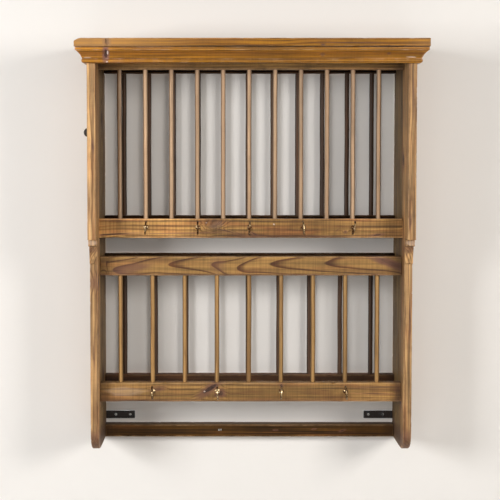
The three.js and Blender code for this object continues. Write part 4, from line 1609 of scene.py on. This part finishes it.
class RACK_OT_hooks(bpy.types.Operator):
    """Screw the cup hooks into the two front rails"""
    bl_idname = "rack.hooks"
    bl_label = "Cup hooks"

    def execute(self, context):
        sizes, colours = context.scene.rack_sizes, context.scene.rack_colours
        brass = metal("aged_brass", colours.brass, colours.tarnish, **BRASS_LOOK)
        points, faces, rubbed = hook_shape(sizes)
        hook = add_mesh("hook_pattern", points, faces, brass, rubbed)
        for tier, turns in HOOK_TURNS.items():
            names = [f"{tier}_cup_hook_{i + 1}" for i in range(len(turns))]
            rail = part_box(tier + "_bottom_front_rail")
            height = (rail[0].z + rail[1].z) / 2 + HOOK_RISE
            places = [(sum(corner.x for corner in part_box(name)) / 2, rail[0].y, height) for name in names]
            rolls = [math.radians(-turn) for turn in turns]
            piece = fastened("brass_cup_hooks_" + tier, hook, brass, places, TO_ROOM, rolls)
            settle(piece, "brass", *names)
        bpy.data.objects.remove(hook)
        return {"FINISHED"}


IRON_LOOK = dict(shine=0.1, roughness=0.45, grain=120.0, metallic=0.3)
ZINC_LOOK = dict(shine=0.3, roughness=0.35)
# Where a strap's holes stand from its side board's inner face; the first is hidden in the board
STRAP_HOLES = (-6 * MM, 20 * MM, 50 * MM)
STRAP_HOLE = 2.25 * MM
STRAP_HOLE_SIDES = 24
STRAP_STEPS = (1.5 * MM, 2.2 * MM)
STRAP_RIM = 0.4 * MM
COUNTERSINK = 1.4 * MM
COUNTERSINK_REACH = 4 * MM
BOLT_RIM = 0.06
BOLT_SINK = 0.15
BOLT_ANGLES = (0.2, 0.4, 0.6, 0.8, 1.0, 1.2, 1.38, 1.5)
BOLT_SIDES = 36
BOLT_RUBBED = 0.3
# How fine the hammer marks are, and how deep
HAMMERED = ((420, 0.05), (900, 0.02))
SCREW_PROFILE = ((0.5, -1.6), (1.0, -0.2), (1.0, -0.02), (0.9, 0.1), (0.6, 0.2), (0.3, 0.25), (0.1, 0.26))
SCREW_SIDES = 28
SCREW_RUBBED = 0.5
SCREW_TURN = 0.6
SCREW_TURN_STEP = 1.1
# The screws' slot: its length against the head, half its width, its floor and its top
SLOT = (1.2, 0.42 * MM, -0.35 * MM, 1 * MM)
NAIL_PROFILE = ((0.8, -1.2), (1.0, -0.2), (1.0, 0.0), (0.7, 0.12), (0.3, 0.16))
NAIL_SIDES = 14
NAIL_RUBBED = 0.4
NAIL_SINK = 0.4 * MM
TOP_NAILS = (-30 * MM, -110 * MM, -185 * MM)
FOOT_NAILS = (-63.6 * MM, -59.4 * MM)
FOOT_NAIL_HEIGHT = 14.5 * MM
FOOT_NAIL_GAP = 0.9 * MM
FOOT_NAIL_SIZE = 0.75


def strap_frame(name):
    """A strap's box, its side board's inner face, and which way the strap runs from there."""
    low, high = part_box(name + "_wall_strap")
    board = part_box(name + "_side_board")
    return (low, high, board[1].x, 1) if name == "left" else (low, high, board[0].x, -1)


class RACK_OT_ironwork(bpy.types.Operator):
    """Fit the two wall straps with their screws, the bolt and the nails"""
    bl_idname = "rack.ironwork"
    bl_label = "Ironwork"

    def execute(self, context):
        sizes, colours = context.scene.rack_sizes, context.scene.rack_colours
        iron = metal("black_iron", colours.iron, colours.rust, **IRON_LOOK)
        self.straps(sizes, iron)
        self.bolt(iron)
        self.screws(sizes, colours)
        self.nails(sizes, iron)
        return {"FINISHED"}

    def straps(self, sizes, iron):
        for name in ("left", "right"):
            low, high, inner, way = strap_frame(name)
            middle = (low.z + high.z) / 2
            centres = [inner + way * hole for hole in STRAP_HOLES]
            around = circle(STRAP_HOLE_SIDES)
            holes = [
                [Vector((x + STRAP_HOLE * c, middle - STRAP_HOLE * s)) for c, s in around] for x in centres]

            def radius(a, b, side):
                at_hole = min(math.hypot(a - x, b - middle) for x in centres) < COUNTERSINK_REACH
                return COUNTERSINK if at_hole and side == 0 else STRAP_RIM

            piece = upright(
                "flat_strap_" + name, low, high, sizes.strap_corner, radius, iron, STRAP_STEPS,
                holes=holes, straight=2)
            settle(piece, "iron", name + "_wall_strap")

    def bolt(self, iron):
        low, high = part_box("left_side_bolt")
        middle = (low + high) / 2
        radius, face = (high.z - low.z) / 2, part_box("left_side_board")[0].x
        rise = face - low.x
        profile = [(1.0, -BOLT_SINK), (1.0, BOLT_RIM)]
        profile += [(math.cos(a), BOLT_RIM + (1 - BOLT_RIM) * math.sin(a)) for a in BOLT_ANGLES]
        points, faces = lathe([(r * radius, h * rise) for r, h in profile], BOLT_SIDES)
        placed = []
        for p in points:
            dint = 1
            for waves, depth in HAMMERED:
                dint -= depth * abs(noise.noise(p * waves))
            placed.append((face - p.z * dint, middle.y + p.x * dint, middle.z + p.y * dint))
        piece = add_mesh("hammered_bolt", placed, faces, iron, [BOLT_RUBBED] * len(placed))
        settle(piece, "iron", "left_side_bolt")

    def screws(self, sizes, colours):
        zinc = metal("plated_screw", colours.zinc, colours.iron, **ZINC_LOOK)
        head = sizes.screw_head
        points, faces = lathe([(r * head, h * MM) for r, h in SCREW_PROFILE], SCREW_SIDES)
        screw = add_mesh("screw_pattern", points, faces, zinc, [SCREW_RUBBED] * len(points))
        long, half, foot, top = SLOT
        slot, sides = lathe([(1, foot), (1, top)], 4)
        slot = [Vector((p.x * head * long, p.y * half, p.z)) for p in slot]
        cutter = add_mesh("slot_pattern", slot, sides, zinc, [0.0] * len(slot))
        carve(screw, cutter)
        places, turns = [], []
        for name in ("left", "right"):
            low, high, inner, way = strap_frame(name)
            for i, hole in enumerate(STRAP_HOLES[1:]):
                places.append((inner + way * hole, low.y, (low.z + high.z) / 2))
                turns.append(SCREW_TURN + i * SCREW_TURN_STEP + way)
        settle(fastened("strap_screws", screw, zinc, places, TO_ROOM, turns), "iron")
        bpy.data.objects.remove(screw)
        bpy.data.objects.remove(cutter)

    def nails(self, sizes, iron):
        points, faces = lathe([(r * sizes.nail_head, h * MM) for r, h in NAIL_PROFILE], NAIL_SIDES)
        nail = add_mesh("nail_pattern", points, faces, iron, [NAIL_RUBBED] * len(points))
        inner, outer = (corner.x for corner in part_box("right_side_board"))
        middle = (inner + outer) / 2
        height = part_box("top_board")[1].z - NAIL_SINK
        places = [(side * middle, y, height) for side in (-1, 1) for y in TOP_NAILS]
        settle(fastened("nail_heads", nail, iron, places, (0, 0, 1)), "iron")
        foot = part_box("foot_back_rail")[0]
        middle = foot.z + FOOT_NAIL_HEIGHT
        places = [(x, foot.y, middle + up) for x in FOOT_NAILS for up in (-FOOT_NAIL_GAP, FOOT_NAIL_GAP)]
        zinc = bpy.data.materials["plated_screw"]
        settle(fastened("foot_rail_nails", nail, zinc, places, TO_ROOM, size=FOOT_NAIL_SIZE), "iron")
        bpy.data.objects.remove(nail)


# The stage and the panel

CAMERA_PLACE = (-0.0575, -2.6, -0.17554)
CAMERA_DIP = math.radians(2.73)
CAMERA_LENS = 89.99
CAMERA_SHIFT = (0.0563, -0.0816)
WALL_GAP = 0.8 * MM
NEAR_WALL = 4 * MM
WALL_TOP = 3.0
WALL_HALF = 5.0
FLOOR_HEIGHT = -1.7
FLOOR_DEPTH = 7.0
COVE_RADIUS = 0.3
COVE_TURNS = 12
PALE_NEAR = 0.5
PALE_FAR = 2.2
PALE_GLOW = 0.6
WALL_FADE = (0.65, 1.7)
WALL_FADED = 0.55
SKY_COLOUR = (0.97, 0.96, 0.94, 1)
SKY_SEEN = 0.9
LAMP_TARGET = Vector((0, -0.1, -0.35))
LAMP_DISTANCE = 2.6
# Each lamp's angle to the side and up, its size and its tint
LAMPS = {
    "left_lamp": (-46, 8, 0.9, (1.0, 1.0, 1.0)), "right_lamp": (44, 11, 0.8, (1.0, 0.965, 0.925)),
    "front_lamp": (0, 12, 1.6, (1.0, 0.99, 0.97)), "rear_lamp": (180, 15, 1.2, (1.0, 0.98, 0.96)),
}


def stage_surface(name, tint):
    """A pale matt surface that isn't there from behind, or for light that leaves the rack's back."""
    material, w, shader = new_material(name)
    w.feed(shader["Roughness"], 0.9)
    w.feed(shader["Specular IOR Level"], 0.1)
    back = w.node("ShaderNodeNewGeometry").outputs["Backfacing"]
    rays = w.node("ShaderNodeLightPath").outputs
    near = w.maths("LESS_THAN", rays["Ray Length"], NEAR_WALL)
    clear = w.out("ShaderNodeBsdfTransparent")
    place = w.axes(w.place())
    aside = w.between(w.maths("ABSOLUTE", place[0]), *WALL_FADE)
    w.feed(shader["Base Color"], w.blend(aside, tint, tuple(WALL_FADED * x for x in tint)))
    w.feed(shader["Emission Color"], w.blend(rays["Is Camera Ray"], (0, 0, 0), tint))
    w.feed(shader["Emission Strength"], w.between(place[1], -PALE_FAR, -PALE_NEAR, PALE_GLOW, 0))
    nodes = material.node_tree.nodes
    surface = w.out("ShaderNodeMixShader", {
        0: w.maths("MAXIMUM", back, near), 1: nodes["Principled BSDF"].outputs[0], 2: clear})
    w.feed(nodes["Material Output"].inputs["Surface"], surface)
    return material


def add_lamp(name, azimuth, elevation, size, tint, watts):
    """A square soft lamp at an angle from straight in front of the rack."""
    a, e = math.radians(azimuth), math.radians(elevation)
    way = Vector((math.sin(a) * math.cos(e), -math.cos(a) * math.cos(e), math.sin(e)))
    light = bpy.data.lights.new(name, "AREA")
    light.energy = watts
    light.size = size
    light.color = tint
    lamp = add_object(name, light)
    lamp.location = LAMP_TARGET + way * LAMP_DISTANCE
    lamp.rotation_euler = way.to_track_quat("Z", "Y").to_euler()


class RACK_OT_stage(bpy.types.Operator):
    """Set up the wall, the floor, the lamps and the camera"""
    bl_idname = "rack.stage"
    bl_label = "Stage"

    def execute(self, context):
        scene, stage = context.scene, context.scene.rack_stage
        self.wall(stage)
        for name, place in LAMPS.items():
            add_lamp(name, *place, getattr(stage, name))
        self.sky(scene, stage)
        lens = bpy.data.cameras.new("camera")
        lens.lens = CAMERA_LENS
        lens.shift_x, lens.shift_y = CAMERA_SHIFT
        camera = add_object("camera", lens)
        camera.location = CAMERA_PLACE
        camera.rotation_euler = (math.pi / 2 - CAMERA_DIP, 0, 0)
        scene.camera = camera
        scene.view_settings.view_transform = "Standard"
        return {"FINISHED"}

    def wall(self, stage):
        """One sheet: the wall, a cove and the floor."""
        profile = [Vector((WALL_GAP, WALL_TOP)), Vector((WALL_GAP, FLOOR_HEIGHT + COVE_RADIUS))]
        for turn in range(1, COVE_TURNS + 1):
            angle = math.pi / 2 * turn / COVE_TURNS
            out, down = COVE_RADIUS * (1 - math.cos(angle)), COVE_RADIUS * (1 - math.sin(angle))
            profile.append(Vector((WALL_GAP - out, FLOOR_HEIGHT + down)))
        profile.append(Vector((-FLOOR_DEPTH, FLOOR_HEIGHT)))
        points = [(x, p.x, p.y) for p in profile for x in (-WALL_HALF, WALL_HALF)]
        faces = [(2 * i, 2 * i + 2, 2 * i + 3, 2 * i + 1) for i in range(len(profile) - 1)]
        mesh = bpy.data.meshes.new("backdrop")
        mesh.from_pydata(points, [], faces)
        mesh.shade_smooth()
        mesh.materials.append(stage_surface("pale_wall", stage.wall))
        sheet = add_object("backdrop", mesh)

    def sky(self, scene, stage):
        """Soft light all round, which the camera and reflections see as near white."""
        world = bpy.data.worlds.new("studio")
        world.use_nodes = True
        scene.world = world
        w = Wiring(world.node_tree)
        rays = w.node("ShaderNodeLightPath").outputs
        mirrored = w.maths("MAXIMUM", rays["Is Glossy Ray"], rays["Is Transmission Ray"])
        seen = w.maths("MAXIMUM", rays["Is Camera Ray"], mirrored)
        backdrop = world.node_tree.nodes["Background"].inputs
        w.feed(backdrop["Color"], SKY_COLOUR)
        w.feed(backdrop["Strength"], w.maths("MAXIMUM", w.times(seen, SKY_SEEN), stage.sky))


class RACK_PT_panel(bpy.types.Panel):
    """Lists the rack's pieces and settings"""
    bl_idname = "RACK_PT_panel"
    bl_label = "Plate Rack"
    bl_space_type = "VIEW_3D"
    bl_region_type = "UI"
    bl_category = "Plate Rack"

    def draw(self, context):
        for operator in OPERATORS:
            self.layout.operator(operator.bl_idname)
        for group in ("rack_sizes", "rack_colours", "rack_stage"):
            settings = getattr(context.scene, group)
            box = self.layout.box()
            for key in settings.__annotations__:
                box.prop(settings, key)


OPERATORS = (
    RACK_OT_side_boards, RACK_OT_top_board, RACK_OT_cornice, RACK_OT_rails, RACK_OT_dowels, RACK_OT_hooks,
    RACK_OT_ironwork, RACK_OT_stage)
CLASSES = (RackSizes, RackColours, RackStage, *OPERATORS, RACK_PT_panel)


def register():
    for item in CLASSES:
        bpy.utils.register_class(item)
    bpy.types.Scene.rack_sizes = PointerProperty(type=RackSizes)
    bpy.types.Scene.rack_colours = PointerProperty(type=RackColours)
    bpy.types.Scene.rack_stage = PointerProperty(type=RackStage)


def unregister():
    del bpy.types.Scene.rack_sizes, bpy.types.Scene.rack_colours, bpy.types.Scene.rack_stage
    for item in reversed(CLASSES):
        bpy.utils.unregister_class(item)


def main():
    register()
    make_growth_rings()
    make_fibres()
    make_knot()
    make_corner_wear()
    make_dowel_row()
    make_fastenings()
    bpy.ops.rack.side_boards()
    bpy.ops.rack.top_board()
    bpy.ops.rack.cornice()
    bpy.ops.rack.rails()
    bpy.ops.rack.dowels()
    bpy.ops.rack.hooks()
    bpy.ops.rack.ironwork()
    bpy.ops.rack.stage()


if __name__ == "__main__":
    main()
